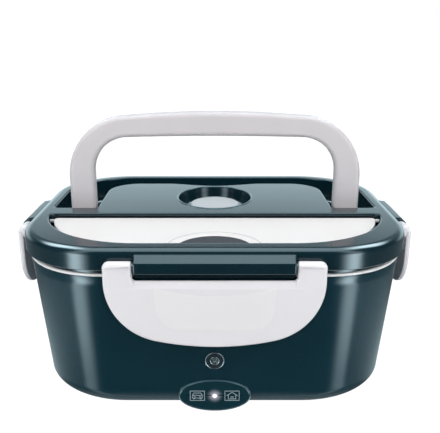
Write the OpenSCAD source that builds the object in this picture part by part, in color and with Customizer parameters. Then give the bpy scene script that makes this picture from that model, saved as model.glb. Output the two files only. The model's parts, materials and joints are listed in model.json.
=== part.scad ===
// Electric lunch box with a carry handle, three clips and a cutlery compartment
// in its lid. Millimetres, +Z up, front clip towards -Y, origin on the ground
// under the middle of the body.

/* [Body] */
// Lid length along X
body_w = 228; // [220:1:236]
// Lid depth along Y
body_d = 174; // [170:1:178]
// Corner radius of the lid in plan
corner_r = 51; // [49:0.5:52]
// Wall slope of the body, millimetres in per millimetre down
wall_slope = 0.09; // [0.06:0.002:0.092]
// How far the rounded bottom edge runs in from the wall
bottom_round = 21.5; // [20:0.5:24]
// Wall thickness of the outer housing
housing_wall = 2; // [1.8:0.1:2]

/* [Lid] */
// Height of the closed lid's top face above the ground
lid_top = 110; // [109:0.5:111]
// Inset of the handle channel's outer wall from the lid's edge
channel_inset = 8.9; // [8.8:0.1:9.2]
// Half length of the front bar that carries the front clip
front_bar_half = 43.5; // [41:0.5:44]
// Half length of each side bar
side_bar_half = 20; // [18:0.5:20.5]
// Length of the cutlery window along X
window_w = 209; // [204:1:209]
// Radius of the steam vent's opening
vent_r = 25; // [23:0.5:25]

/* [Handle] */
// Half width across the outside of the handle
handle_half = 95.5; // [93:0.5:96]
// Top of the raised handle above the ground
handle_top = 171.3; // [168:0.1:172]
// Width of the handle's band seen from the front
handle_band = 16.4; // [15.6:0.1:17]
// Height of the handle's grip seen from the front
handle_grip = 15.5; // [15:0.1:15.8]
// Rise of the arched grip over its two ends
handle_arch = 2.4; // [1.6:0.1:2.6]
// Thickness of the handle front to back
handle_t = 10.5; // [9.5:0.1:10.6]

/* [Clips] */
// Lowest point of the front clip
front_clip_z = 54.2; // [53:0.2:58]
// Lowest point of the side clips
side_clip_z = 60.8; // [60:0.2:64]
// Thickness of the clips
clip_t = 3; // [2.6:0.1:3.2]

/* [Hidden] */
$fn = 48;
lid_hw = body_w / 2;
lid_hd = body_d / 2;
floor_z = 3;
rim_z = 94;
// inset of the housing's upper edge from the lid's edge
rim_in = 2.1;
rim_r = 50.5;
// loss of corner radius from the rim down to the rounded edge
corner_drop = 5;
flange_top = 95.5;
ring_top = 97.5;
skirt_z = 98.5;
deck_floor = 93;
deck_under = 91;
round_top = 19;
// inner forms, measured in from the lid's edge
sleeve_in = 5.2;
mouth_in = 6.4;
plug_in = 7.4;
groove_in = 3.2;
axis_z = 101;
front_axis = 2.2;
side_axis = 4.2;
front_face = 5;
side_face = 8.2;
front_reach = 6;
side_reach = 8.4;
ear_r = 3;
side_ear_r = 3.8;
// lower outline of the front clip: half width of the wide arc, its radius, corner radius
front_arc = [32.5, 150, 35];
side_arc = [14, 80, 22];
// catch beads' inset from the lid's edge
bead_in = 0.8;
pin_r = 1.3;
handle_y = 4;
handle_z = 99;
handle_pin_r = 2.5;
inner_arch = 0.8;
window_d = 152.8;
window_r = 61;
window_back = -20.5;
cover_in = 2.8;
ledge_in = 4.4;
channel_front = -7;
island_hw = 77;
island_back = 58.6;
island_r = 22;
// finger dip at the island's rear edge
dip_depth = 6.6;
dip_half = 33;
vent_y = 18;
cover_y = -22.8;
cover_z = 105.7;
cover_under = 104.4;
ledge_z = 103.8;
cover_top = 107.4;
cover_back = -21.6;
notch_y = -77.5;
notch_r = 21.5;
insert_h = 2.5;
// oval indicator panel: its plane, half axes and depth
panel_y = -79.1;
panel_z = 15.6;
panel_tilt = 1.5;
panel_a = 20.7;
panel_b = 9.8;
trim_w = 0.6;
panel_depth = 11.6;
emblem_z = 39.2;
// seat of the rear bracket's screw heads
bracket_seat = 89.6;
foot_x = 46;
foot_y = 38;
inlet_z = 15;
screw_r = 1.5;

// ---------- shared outlines ----------

// Points of a circular arc from angle a0 to a1
function arc(cx, cy, r, a0, a1, n = 10) =
  [for (i = [0:n]) let (a = a0 + (a1 - a0) * i / n) [cx + r * cos(a), cy + r * sin(a)]];

// Rounded rectangle about the origin
function rounded(w, d, r, n = 10) = concat(
  arc(w / 2 - r, d / 2 - r, r, 0, 90, n),
  arc(r - w / 2, d / 2 - r, r, 90, 180, n),
  arc(r - w / 2, r - d / 2, r, 180, 270, n),
  arc(w / 2 - r, r - d / 2, r, 270, 360, n));

// The lid's outline moved in by a distance
function lid_outline(in) = rounded(body_w - 2 * in, body_d - 2 * in, corner_r - in);

// The outline of the forms that pass through the rim, fuller in the corners
function deep_outline(in) = rounded(body_w - 2 * in, body_d - 2 * in, 54 - in);

// The cutlery window's full rounded outline moved in by a distance
function window_outline(in) =
  rounded(window_w - 2 * in, window_d - 2 * in, window_r - in, 14);

// Ellipse with half axes a and b
function oval(a, b, n = 48) = [for (i = [0:n - 1]) [a * cos(360 * i / n), b * sin(360 * i / n)]];

// Inset of the housing's wall at height z
function wall_inset(z) = rim_in + wall_slope * (95.5 - z);

// Half width of a clip from the three values of its lower outline
function clip_side(a) = a[0] * (1 - a[2] / a[1]) + a[2];

// Right half of a clip's lower outline, a wide arc that turns up into the side
function clip_edge(a, z0) = let (turn = asin(a[0] / a[1])) concat(
  arc(0, z0 + a[1], a[1], 270, 270 + turn, 6),
  arc(clip_side(a) - a[2], z0 + a[1] - (a[1] - a[2]) * cos(turn), a[2], 271 + turn, 360, 12));

function mirrored(p) = [for (i = [len(p) - 1:-1:0]) [-p[i][0], p[i][1]]];

module prism(points, z0, z1) {
  translate([0, 0, z0]) linear_extrude(z1 - z0) polygon(points);
}

module band(z0, z1, y0, y1) {
  translate([-150, y0, z0]) cube([300, y1 - y0, z1 - z0]);
}

module rod_x(r, x0, x1, y, z) {
  translate([x0, y, z]) rotate([0, 90, 0]) cylinder(h = x1 - x0, r = r);
}

module rod_y(r, y0, y1, x, z) {
  translate([x, y1, z]) rotate([90, 0, 0]) cylinder(h = y1 - y0, r = r);
}

module at_front() {
  translate([0, -lid_hd, 0]) children();
}

module at_rear() {
  rotate([0, 0, 180]) translate([0, -lid_hd, 0]) children();
}

module at_right() {
  rotate([0, 0, 90]) translate([0, -lid_hw, 0]) children();
}

module at_left() {
  rotate([0, 0, -90]) translate([0, -lid_hw, 0]) children();
}

module four(x, y) {
  for (sx = [-1, 1], sy = [-1, 1]) translate([sx * x, sy * y, 0]) children();
}

// One thin level of the housing's outer form
module housing_level(z, in, r) {
  translate([0, 0, z]) linear_extrude(0.01)
    polygon(rounded(body_w - 2 * in, body_d - 2 * in, r));
}

// The housing's form as one solid, moved in by t, from z0 up to z1
module tub(t, z0, z1) {
  rise = round_top - z0;
  hull() {
    housing_level(z1 - 0.01, wall_inset(z1) + t, rim_r - t);
    for (a = [0:15:90])
      housing_level(round_top - rise * sin(a),
        wall_inset(round_top) + t + bottom_round * (1 - cos(a)), rim_r - corner_drop - t);
  }
}

// A pot with straight sloped walls and a rounded foot, used for liner and container
module pot(in, r, z0, z1, slope, foot) {
  hull() {
    translate([0, 0, z1 - 0.01]) linear_extrude(0.01)
      polygon(rounded(body_w - 2 * in, body_d - 2 * in, r));
    for (a = [0:22.5:90])
      let (k = in + slope * (z1 - z0) + foot * (1 - cos(a)))
        translate([0, 0, z0 + foot - foot * sin(a)]) linear_extrude(0.01)
          polygon(rounded(body_w - 2 * k, body_d - 2 * k, r - 3));
  }
}

module panel_place() {
  translate([0, panel_y, panel_z]) rotate([90 + panel_tilt, 0, 0]) children();
}

// Oval block of the panel's form, grown by g, between two depths
module panel_oval(g, z0, z1) {
  panel_place() translate([0, 0, z0]) linear_extrude(z1 - z0)
    polygon(oval(panel_a + g, panel_b + g));
}

module emblem_place() {
  translate([0, wall_inset(emblem_z) - lid_hd, emblem_z])
    rotate([90 + atan(wall_slope), 0, 0]) translate([0, 0, -0.5]) children();
}

// ---------- housing ----------

module outer_housing() color("#16323a") {
  difference() {
    union() {
      difference() {
        tub(0, floor_z, rim_z);
        tub(housing_wall, floor_z + 2.5, rim_z + 1);
      }
      // screw posts under the liner
      four(foot_x, foot_y) translate([0, 0, 5]) cylinder(h = 8, r = 5);
      // catch beads under the clips
      translate([-34, bead_in - lid_hd, 80.5]) cube([68, 4, 2.5]);
      for (s = [0, 180]) rotate([0, 0, s]) translate([lid_hw - bead_in - 4, -14, 80.5])
        cube([4, 28, 2.5]);
      // posts for the rear bracket's screws
      for (x = [-27, 27], z = [68, 79]) rod_y(4, 78.6, 82, x, z);
    }
    four(foot_x, foot_y) {
      translate([0, 0, 2]) cylinder(h = 2.5, r = 7);
      translate([0, 0, 4]) cylinder(h = 3.5, r = 3.2);
      translate([0, 0, 7]) cylinder(h = 7, r = 1.7);
    }
    panel_oval(trim_w, -14, 6);
    for (x = [-27, 27], z = [68, 79]) rod_y(screw_r, 78, 88, x, z);
    // rear opening for the inlets
    translate([0, 82, inlet_z]) rotate([90, 0, 0]) linear_extrude(20) inlet_outline(0);
    // shallow seat of the emblem
    emblem_place() cylinder(h = 3, r = 5.7);
  }
}

module inner_liner() color("#eceef0") {
  difference() {
    union() {
      prism(rounded(body_w - 2 * rim_in, body_d - 2 * rim_in, rim_r), rim_z, flange_top);
      prism(deep_outline(rim_in + 1.5), flange_top, ring_top);
      prism(rounded(body_w - 2 * sleeve_in, body_d - 2 * sleeve_in, 49), 85, rim_z);
      pot(9.4, 41, 25, 86, 0.06, 12);
      four(foot_x, foot_y) translate([0, 0, 13]) cylinder(h = 13, r = 4.5);
    }
    prism(deep_outline(mouth_in), 87, ring_top + 1);
    pot(11.4, 39, 27, 88, 0.06, 10);
    four(foot_x, foot_y) translate([0, 0, 12]) cylinder(h = 9, r = screw_r);
    translate([0, 0, 24]) linear_extrude(5) polygon(rounded(136, 60, 16));
  }
}

module steel_container() color("#c9ccce") {
  difference() {
    union() {
      prism(deep_outline(mouth_in + 0.8), 87.1, 88.2);
      pot(12.2, 38, 28, 88, 0.06, 9);
    }
    pot(13.2, 37, 29, 90, 0.06, 8.4);
  }
}

module fruit_tray() color("#dfe7ea") {
  translate([52, 0, 0]) {
    difference() {
      union() {
        prism(rounded(72, 112, 15), 30, 70);
        prism(rounded(77, 117, 17), 68.6, 70);
      }
      prism(rounded(69.6, 109.6, 14), 31.4, 71);
    }
  }
}

// ---------- heating and electrics ----------

module heating_plate() color("#b9bdc0") {
  prism(rounded(136, 60, 16), 25, 27.95);
}

module ptc_heater(x) color("#d8d2c2") {
  translate([x - 21, -12, 20.5]) cube([42, 24, 4.5]);
}

module heater_clamp() color("#8d9296") {
  difference() {
    translate([-56, -5, 18.9]) cube([112, 10, 1.6]);
    for (x = [-52, 0, 52]) translate([x, 0, 18]) cylinder(h = 4, r = 1.6);
  }
  for (x = [-56, 54]) translate([x, -5, 20.5]) cube([2, 10, 4.5]);
  translate([0, 0, 20.5]) cylinder(h = 4.5, r = 1.6);
}

module thermostat() color("#3b3f43") {
  translate([0, 21, 16]) cylinder(h = 9, r = 7);
  for (s = [-1, 1]) translate([s * 4 - 1.5, 20.5, 12.5]) cube([3, 1, 3.5]);
}

module thermal_fuse() color("#e7e2d2") {
  rod_x(2.2, -9, 9, -24, 22.8);
  rod_x(0.5, -17, -9, -24, 22.8);
  rod_x(0.5, 9, 17, -24, 22.8);
}

module control_board() color("#1f6b3c") {
  panel_place() translate([0, 0, -panel_depth - 3.6]) {
    translate([-17, -7, 0]) cube([34, 14, 1.6]);
    translate([-12, -6, 1.6]) cube([6, 5, 1.6]);
    translate([7, -6, 1.6]) cube([5, 5, 1.6]);
  }
}

module indicator_led() color("#f4f7ff") {
  panel_place() translate([0, 0, -panel_depth - 2]) cylinder(h = 1.9, r = 1.5);
}

module led_lens() color("#f4f7ff") {
  panel_place() translate([0, 0, -panel_depth - 0.1]) cylinder(h = panel_depth + 0.4, r = 2.4);
}

module control_panel() color("#10242a") {
  difference() {
    panel_oval(0, -panel_depth, 0);
    panel_place() translate([0, 0, -panel_depth - 1]) cylinder(h = panel_depth + 2, r = 2.4);
  }
}

module panel_bezel() color("#54707a") {
  difference() {
    panel_oval(trim_w, -panel_depth - 0.4, 0.4);
    panel_oval(0, -panel_depth - 2, 3);
  }
}

module emblem_disc() color("#c4c8cb") {
  emblem_place() cylinder(h = 1.1, r = 5.7);
}

module inlet_outline(in) {
  polygon(rounded(63 - 2 * in, 15.6 - 2 * in, 5 - in));
}

module inlet_frame() color("#20262a") {
  difference() {
    union() {
      translate([0, 79.5, inlet_z]) rotate([90, 0, 0]) linear_extrude(13.5) inlet_outline(0);
      // lugs for the cover's pin
      for (s = [0, 1]) mirror([s, 0, 0]) {
        translate([29.3, 79, inlet_z + 1]) cube([2, 4.8, 6]);
        translate([29.3, 80.4, inlet_z + 6]) cube([2, 3.4, 6]);
      }
    }
    translate([-17, 84, inlet_z]) rotate([90, 0, 0])
      linear_extrude(20) polygon(rounded(21.8, 11.8, 5.8));
    rod_y(5.9, 60, 90, 17, inlet_z);
    rod_x(0.8, -40, 40, 82.2, 25.2);
  }
}

module mains_inlet() color("#14181a") {
  difference() {
    translate([-17, 78.5, inlet_z]) rotate([90, 0, 0])
      linear_extrude(11.5) polygon(rounded(21.8, 11.8, 5.8));
    for (s = [-1, 1]) {
      rod_y(3.9, 71, 85, s * 4.2 - 17, inlet_z);
      rod_y(1.2, 60, 85, s * 4.2 - 17, inlet_z);
    }
    translate([-19, 71, inlet_z - 3]) cube([4, 10, 6]);
  }
}

module mains_inlet_pins() color("#c8cacc") {
  for (s = [-1, 1]) rod_y(1.2, 62, 77, s * 4.2 - 17, inlet_z);
}

module car_inlet() color("#14181a") {
  difference() {
    rod_y(5.9, 67, 78.5, 17, inlet_z);
    rod_y(4.2, 71, 85, 17, inlet_z);
    rod_y(1.1, 60, 85, 17, inlet_z);
  }
}

module car_inlet_pin() color("#c8cacc") {
  rod_y(1.1, 62, 77, 17, inlet_z);
}

// Soft flap over the two inlets, turning on a pin along its top edge
module socket_cover() color("#22282b") {
  difference() {
    union() {
      translate([0, 82, 14.7]) rotate([90, 0, 0]) linear_extrude(2)
        polygon(rounded(57.6, 15.4, 4));
      translate([-28.8, 80.5, 18]) cube([57.6, 1.5, 6.4]);
      rod_x(1.6, -28.8, 28.8, 82.2, 25.2);
      translate([-6, 80, 4.2]) cube([12, 2, 4]);
    }
    rod_x(0.85, -30, 30, 82.2, 25.2);
  }
}

module cover_pin() color("#b5b9bc") {
  rod_x(0.8, -31.3, 31.3, 82.2, 25.2);
}

// ---------- leads ----------

function unit(v) = v / norm(v);

// Direction of the route at point i
function along(p, i) = unit(p[min(i + 1, len(p) - 1)] - p[max(i - 1, 0)]);

// Eight points around the route at point i
function ring(p, i, r) =
  let (t = along(p, i), a = unit(cross(t, [1, 0.02, 0.03])), b = cross(t, a))
    [for (k = [0:7]) p[i] + r * (cos(45 * k) * a + sin(45 * k) * b)];

// A round lead along a list of points
module lead(p, r) {
  n = len(p);
  polyhedron(points = [for (i = [0:n - 1]) each ring(p, i, r)],
    faces = concat(
      [for (i = [0:n - 2], k = [0:7]) [i * 8 + k, i * 8 + (k + 1) % 8,
        (i + 1) * 8 + (k + 1) % 8, (i + 1) * 8 + k]],
      [[for (k = [7:-1:0]) k], [for (k = [0:7]) (n - 1) * 8 + k]]));
}

mains_route = [[-21.2, 62, 15], [-21.2, 60.5, 15], [-22, 58, 14.6], [-25, 50, 13], [-29, 40, 11],
  [-30, 28, 10], [-30, 18, 11], [-30, 12, 13], [-30, 9.4, 16], [-30, 9, 20.4]];
mains_route_2 = [[-12.8, 62, 15], [-12.8, 60.5, 15], [-12, 58, 14], [-9, 50, 11], [-6, 40, 9], [-4, 30, 8.6],
  [-4, 24, 9.4], [-4, 21.4, 11], [-4, 21, 12.4]];
car_route = [[17, 62, 15], [17, 60.5, 15], [18, 58, 14.6], [22, 50, 13], [28, 40, 11], [30, 28, 10],
  [30, 18, 11], [30, 12, 13], [30, 9.4, 16], [30, 9, 20.4]];
panel_route = [[8, -63.8, 15.8], [8, -62.4, 15.8], [8.6, -60, 15], [11, -54, 12], [15, -44, 10], [18, -34, 11],
  [18, -27, 15], [17.2, -24.4, 18.6], [17, -24, 22.2]];

module mains_lead() color("#9a2b26") {
  lead(mains_route, 1);
  lead(mains_route_2, 1);
}

module car_lead() color("#2b2f33") {
  lead(car_route, 1);
}

module panel_lead() color("#d9d9d9") {
  lead(panel_route, 0.8);
}

// ---------- feet and screws ----------

module rubber_feet() color("#26292b") {
  four(foot_x, foot_y) {
    translate([0, 0, 1]) cylinder(h = 3.5, r = 7);
    cylinder(h = 1, r = 6.4);
  }
}

module housing_screws() color("#a4a8ab") {
  four(foot_x, foot_y) {
    translate([0, 0, 4.9]) cylinder(h = 2.6, r = 2.8);
    translate([0, 0, 7.5]) cylinder(h = 13, r = screw_r);
  }
}

// ---------- rear bracket ----------

module rear_bracket() color("#e9eaee") {
  difference() {
    union() {
      at_rear() clip_body(front_bar_half, front_arc, 60, front_face, front_axis, ear_r);
      difference() {
        translate([-36, 80, 64]) cube([72, lid_hd + front_face - clip_t - 79.5, 22]);
        tub(0, floor_z, rim_z);
      }
    }
    for (x = [-27, 27], z = [68, 79]) {
      rod_y(screw_r, 78, 93, x, z);
      rod_y(2.9, bracket_seat, 94, x, z);
    }
    rod_x(pin_r, -60, 60, lid_hd + front_axis, axis_z);
  }
}

module bracket_screws() color("#a4a8ab") {
  for (x = [-27, 27], z = [68, 79]) {
    rod_y(screw_r, 79, bracket_seat, x, z);
    rod_y(2.7, bracket_seat, bracket_seat + 2, x, z);
  }
}

module rear_hinge_pin() color("#b5b9bc") {
  rod_x(pin_r, -58.2, 58.2, lid_hd + front_axis, axis_z);
}

// ---------- clips ----------

// Clip or bracket plate in its wall's own frame: wall at y 0, outwards along -y
module clip_body(bar, outline, z0, face, axis, er) {
  edge = clip_edge(outline, z0);
  side = clip_side(outline);
  right = concat(edge, [[side, axis_z], [bar + 0.5, axis_z], [bar + 0.5, 93.4], [0, 93.4]]);
  translate([0, clip_t - face, 0]) rotate([90, 0, 0])
    linear_extrude(clip_t) polygon(concat(right, mirrored(right)));
  for (s = [0, 1]) mirror([s, 0, 0]) difference() {
    rod_x(er, bar + 0.5, side, -axis, axis_z);
    // flat inner side below the axis
    translate([0, clip_t - face + 0.2, axis_z - 8]) cube([side + 1, 9, 8 - er * 0.55]);
  }
}

module clip(bar, outline, z0, face, axis, er, rib) {
  side = clip_side(outline);
  difference() {
    union() {
      clip_body(bar, outline, z0, face, axis, er);
      // snap rib below the catch bead
      translate([-rib, clip_t - face - 0.1, 76]) cube([2 * rib, face - clip_t + 0.3, 3]);
      // stiffening ribs
      for (x = [-0.6, 0, 0.6]) translate([x * bar - 0.7, clip_t - face - 0.1, 79])
        cube([1.4, 0.7, 12]);
    }
    rod_x(pin_r + 0.05, -side - 1, side + 1, -axis, axis_z);
  }
}

module front_latch() color("#e9eaee") {
  at_front() clip(front_bar_half, front_arc, front_clip_z, front_face, front_axis, ear_r, 30);
}

module front_latch_pin() color("#b5b9bc") {
  at_front() rod_x(pin_r, -58, 58, -front_axis, axis_z);
}

module side_latch() {
  clip(side_bar_half, side_arc, side_clip_z, side_face, side_axis, side_ear_r, 12);
}

module left_latch() color("#e9eaee") {
  at_left() side_latch();
}

module right_latch() color("#e9eaee") {
  at_right() side_latch();
}

module left_latch_pin() color("#b5b9bc") {
  at_left() rod_x(pin_r, -30.5, 30.5, -side_axis, axis_z);
}

module right_latch_pin() color("#b5b9bc") {
  at_right() rod_x(pin_r, -30.5, 30.5, -side_axis, axis_z);
}

// ---------- lid ----------

// Bar on the lid's edge that a clip or the hinge turns on
module edge_bar(half, reach) {
  translate([-half, 0, 0]) rotate([90, 0, 90]) linear_extrude(2 * half)
    polygon([[2, skirt_z + 0.1], [-0.4, skirt_z + 0.1], [-0.4, 97.3], [0.8 - reach, 97.3],
      [-reach, 98.1], [-reach, 103.6], [4.4 - reach, 107.8], [2, 107.8]]);
}

// Room in the lid's skirt for a clip's ears
module ear_room(bar, side, axis, er) {
  for (s = [0, 1]) mirror([s, 0, 0]) {
    rod_x(er + 0.6, bar, side + 0.7, -axis, axis_z);
    translate([bar, -axis - er - 2, skirt_z - 1])
      cube([side + 0.7 - bar, er + 2 + axis + 0.9, axis_z - skirt_z + 1]);
  }
}

// Depth of the finger dip at a distance x from the middle
function dip(x) = dip_depth * pow((1 + cos(180 * x / dip_half)) / 2, 0.7);

module island(in) {
  polygon(concat([[island_hw - in, channel_front - 4]],
    arc(island_hw - island_r, island_back - island_r, island_r - in, 0, 90),
    [for (i = [10:-1:-10]) let (x = dip_half * i / 10) [x, island_back - in - dip(x)]],
    arc(island_r - island_hw, island_back - island_r, island_r - in, 90, 180),
    [[in - island_hw, channel_front - 4]]));
}

module lid_shell() color("#16323a") {
  difference() {
    union() {
      difference() {
        prism(lid_outline(0), skirt_z, lid_top - 1);
        // groove for the seal
        difference() {
          prism(deep_outline(groove_in), skirt_z - 1, 101.5);
          prism(deep_outline(plug_in), skirt_z - 2, 102);
        }
      }
      prism(lid_outline(0.9), lid_top - 1.05, lid_top);
      prism(deep_outline(plug_in), deck_under, skirt_z + 0.5);
      at_front() edge_bar(front_bar_half, front_reach);
      at_rear() edge_bar(front_bar_half, front_reach);
      at_left() edge_bar(side_bar_half, side_reach);
      at_right() edge_bar(side_bar_half, side_reach);
    }
    // handle channel around the raised island
    difference() {
      intersection() {
        prism(deep_outline(channel_inset), deck_floor, lid_top + 1);
        band(deck_floor, lid_top + 1, channel_front, 90);
      }
      translate([0, 0, deck_floor - 1]) linear_extrude(30) island(0);
    }
    // cutlery compartment with a ledge for its cover
    intersection() {
      prism(window_outline(0), ledge_z, lid_top + 1);
      band(90, 120, -90, window_back);
    }
    intersection() {
      prism(window_outline(ledge_in), deck_floor, lid_top + 1);
      band(90, 120, -90, window_back);
    }
    rod_x(1.15, -window_w / 2 - 1.6, window_w / 2 + 1.6, cover_y, cover_z);
    // hollow under the island, posts and vent well kept
    difference() {
      translate([0, 0, deck_under - 1]) linear_extrude(107.6 - deck_under + 1)
        intersection() {
          island(2);
          translate([-90, -3]) square([180, 70]);
        }
      for (s = [-1, 1]) translate([s * 71 - 9, -3, 90]) cube([18, 14, 20]);
      for (s = [-1, 1]) translate([s * 50, 40, 90]) cylinder(h = 20, r = 4.5);
      translate([0, vent_y, 90]) cylinder(h = 20, r = vent_r + 2.4);
    }
    // vent well and its outlet
    translate([0, vent_y, 101]) cylinder(h = 9.2, r1 = 19.5, r2 = vent_r);
    translate([0, vent_y, 90]) cylinder(h = 12, r = 4.4);
    translate([0, vent_y, 90]) difference() {
      cylinder(h = 9, r = 22);
      cylinder(h = 9, r = 6.4);
    }
    for (a = [30:60:330]) translate([0, vent_y, 0]) rotate([0, 0, a])
      translate([13, 0, 90]) cylinder(h = 12, r = 2);
    for (s = [-1, 1], y = [-13, 40]) translate([s * 50, y, 90]) cylinder(h = 14, r = 1.4);
    rod_x(handle_pin_r, 66, 90, handle_y, handle_z);
    rod_x(handle_pin_r, -90, -66, handle_y, handle_z);
    at_front() ear_room(front_bar_half, clip_side(front_arc), front_axis, ear_r);
    at_rear() ear_room(front_bar_half, clip_side(front_arc), front_axis, ear_r);
    at_left() ear_room(side_bar_half, clip_side(side_arc), side_axis, side_ear_r);
    at_right() ear_room(side_bar_half, clip_side(side_arc), side_axis, side_ear_r);
    at_front() rod_x(pin_r, -60, 60, -front_axis, axis_z);
    at_rear() rod_x(pin_r + 0.05, -60, 60, -front_axis, axis_z);
    at_left() rod_x(pin_r, -40, 40, -side_axis, axis_z);
    at_right() rod_x(pin_r, -40, 40, -side_axis, axis_z);
  }
  // raised rim around the vent
  difference() {
    translate([0, vent_y, lid_top - 0.2]) cylinder(h = 0.6, r = vent_r + 1.2);
    translate([0, vent_y, lid_top - 1]) cylinder(h = 3, r = vent_r);
  }
}

module inner_lid() color("#eceef0") {
  difference() {
    prism(deep_outline(plug_in + 0.4), 88.9, deck_under);
    translate([0, 0, 88]) linear_extrude(1.7) difference() {
      polygon(rounded(body_w - 40, body_d - 40, 32));
      polygon(rounded(body_w - 46, body_d - 46, 29));
    }
    translate([0, vent_y, 88]) cylinder(h = 4, r = 6.4);
    for (s = [-1, 1], y = [-13, 40]) translate([s * 50, y, 88]) {
      cylinder(h = 2.2, r = 3);
      cylinder(h = 4, r = 1.4);
    }
  }
}

module lid_seal() color("#d7dadc") {
  difference() {
    prism(deep_outline(groove_in + 0.2), 97.9, 101.5);
    prism(deep_outline(plug_in - 0.2), 97, 102);
  }
}

module lid_screws() color("#a4a8ab") {
  for (s = [-1, 1], y = [-13, 40]) translate([s * 50, y, 0]) {
    translate([0, 0, 89]) cylinder(h = 1.2, r = 2.8);
    translate([0, 0, 90.2]) cylinder(h = 12, r = 1.4);
  }
}

module vent_plug() color("#d6dadc") {
  translate([0, vent_y, 0]) rotate_extrude()
    polygon([[0, 92], [3.2, 92], [3.9, 94], [3.9, 101.4], [15.9, 101.4], [16.9, 102.4],
      [16.9, 105.2], [16.1, 106.3], [13.5, 106.8], [7, 107.1], [0, 107.2]]);
}

// ---------- cutlery compartment ----------

module cutlery_cover() color("#ececf0") {
  difference() {
    union() {
      intersection() {
        prism(window_outline(cover_in), cover_under, cover_top);
        band(90, 120, -90, cover_back);
      }
      for (s = [0, 1]) mirror([s, 0, 0])
        rod_x(1.1, window_w / 2 - 5, window_w / 2 + 1.4, cover_y, cover_z);
      // raised rim around the finger notch
      intersection() {
        translate([0, notch_y, cover_top - 0.1]) difference() {
          cylinder(h = 0.8, r = notch_r + 6.1);
          translate([0, 0, -1]) cylinder(h = 4, r = notch_r + 4.9);
        }
        band(90, 120, notch_y + 5.5, cover_back);
      }
    }
    translate([0, notch_y, 100]) cylinder(h = 10, r = notch_r);
  }
}

// Grey floor of the cover's finger notch
module finger_insert() color("#494c50") {
  intersection() {
    translate([0, notch_y, cover_under]) cylinder(h = insert_h, r = notch_r - 0.05);
    prism(window_outline(cover_in), 100, 110);
  }
}

module spoon() color("#d0d3d5") {
  // shallow round bowl
  translate([-68.5, -49.5, 93.2]) intersection() {
    difference() {
      translate([0, 0, 34]) sphere(r = 34);
      translate([0, 0, 35.2]) sphere(r = 34);
    }
    cylinder(h = 5.2, r = 12.5);
  }
  prism([[-60, -52.2], [-48, -52], [50, -53.4], [70, -55], [75, -53], [76, -50], [75, -47],
    [70, -45], [50, -46.6], [-48, -48], [-60, -47.8]], 95, 96.6);
}

module fork() color("#d0d3d5") {
  difference() {
    prism([[86, -34], [74, -36], [56, -37], [46, -33.5], [-60, -34], [-82, -36], [-87, -33],
      [-88, -29], [-87, -25], [-82, -22.6], [-60, -24.5], [46, -25], [56, -22], [74, -22.6],
      [86, -24]], 94, 95.6);
    for (y = [-32.4, -29.2, -26]) translate([62, y - 0.9, 93]) cube([30, 1.8, 4]);
  }
}

// ---------- carry handle ----------

// Front outline of the handle: outer edge slightly arched, inner edge rounded
module handle_outline() {
  hi = handle_half - handle_band;
  zi = handle_top - handle_grip;
  outer_r = 40;
  inner_r = 23;
  outer = concat([[handle_half, handle_z]],
    arc(handle_half - outer_r, handle_top - outer_r - handle_arch, outer_r, 0, 87.4, 16),
    [for (i = [4:-1:1]) [i * 12, handle_top - pow(i * 12 / 54.5, 2) * handle_arch]]);
  inner = concat([[hi, handle_z - 20]],
    arc(hi - inner_r, zi - inner_r - inner_arch, inner_r, 0, 89, 12),
    [for (i = [4:-1:1]) [i * 12, zi - pow(i * 12 / 56, 2) * inner_arch]]);
  difference() {
    polygon(concat(outer, [[0, handle_top]], mirrored(outer)));
    polygon(concat(inner, [[0, zi]], mirrored(inner)));
  }
}

module carry_handle() color("#d8d6da") {
  hi = handle_half - handle_band;
  difference() {
    union() {
      translate([0, handle_y + handle_t / 2, 0]) rotate([90, 0, 0])
        linear_extrude(handle_t) handle_outline();
      for (s = [-1, 1])
        rod_x(handle_t / 2, s * (hi + handle_band / 2) - handle_band / 2,
          s * (hi + handle_band / 2) + handle_band / 2, handle_y, handle_z);
    }
    rod_x(handle_pin_r + 0.05, hi - 1, handle_half - 3, handle_y, handle_z);
    rod_x(handle_pin_r + 0.05, 3 - handle_half, 1 - hi, handle_y, handle_z);
  }
}

module handle_pins() color("#b5b9bc") {
  rod_x(handle_pin_r, 66, handle_half - 4, handle_y, handle_z);
  rod_x(handle_pin_r, 4 - handle_half, -66, handle_y, handle_z);
}

outer_housing();
inner_liner();
steel_container();
fruit_tray();
heating_plate();
ptc_heater(-24);  // ptc_heater_left
ptc_heater(24);  // ptc_heater_right
heater_clamp();
thermostat();
thermal_fuse();
control_board();
indicator_led();
led_lens();
control_panel();
panel_bezel();
emblem_disc();
mains_inlet();
mains_inlet_pins();
car_inlet();
car_inlet_pin();
inlet_frame();
socket_cover();
cover_pin();
mains_lead();
car_lead();
panel_lead();
rubber_feet();
housing_screws();
rear_bracket();
bracket_screws();
rear_hinge_pin();
lid_shell();
inner_lid();
lid_seal();
lid_screws();
vent_plug();
cutlery_cover();
finger_insert();
spoon();
fork();
carry_handle();
handle_pins();
front_latch();
front_latch_pin();
left_latch();
left_latch_pin();
right_latch();
right_latch_pin();
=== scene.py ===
"""Electric lunch box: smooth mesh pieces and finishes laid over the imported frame.

Outlines are drawn in millimetres and meshes are made in metres. +X is to the right of
the front clip, +Y is the rear hinge, +Z is up, and the origin is on the ground under the
middle of the body.
"""

import json
import logging
import math
from collections.abc import Iterable, Sequence
from dataclasses import dataclass, field
from enum import Enum

import bmesh
import bpy
from mathutils import Matrix, Vector
from mathutils.geometry import tessellate_polygon

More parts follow.
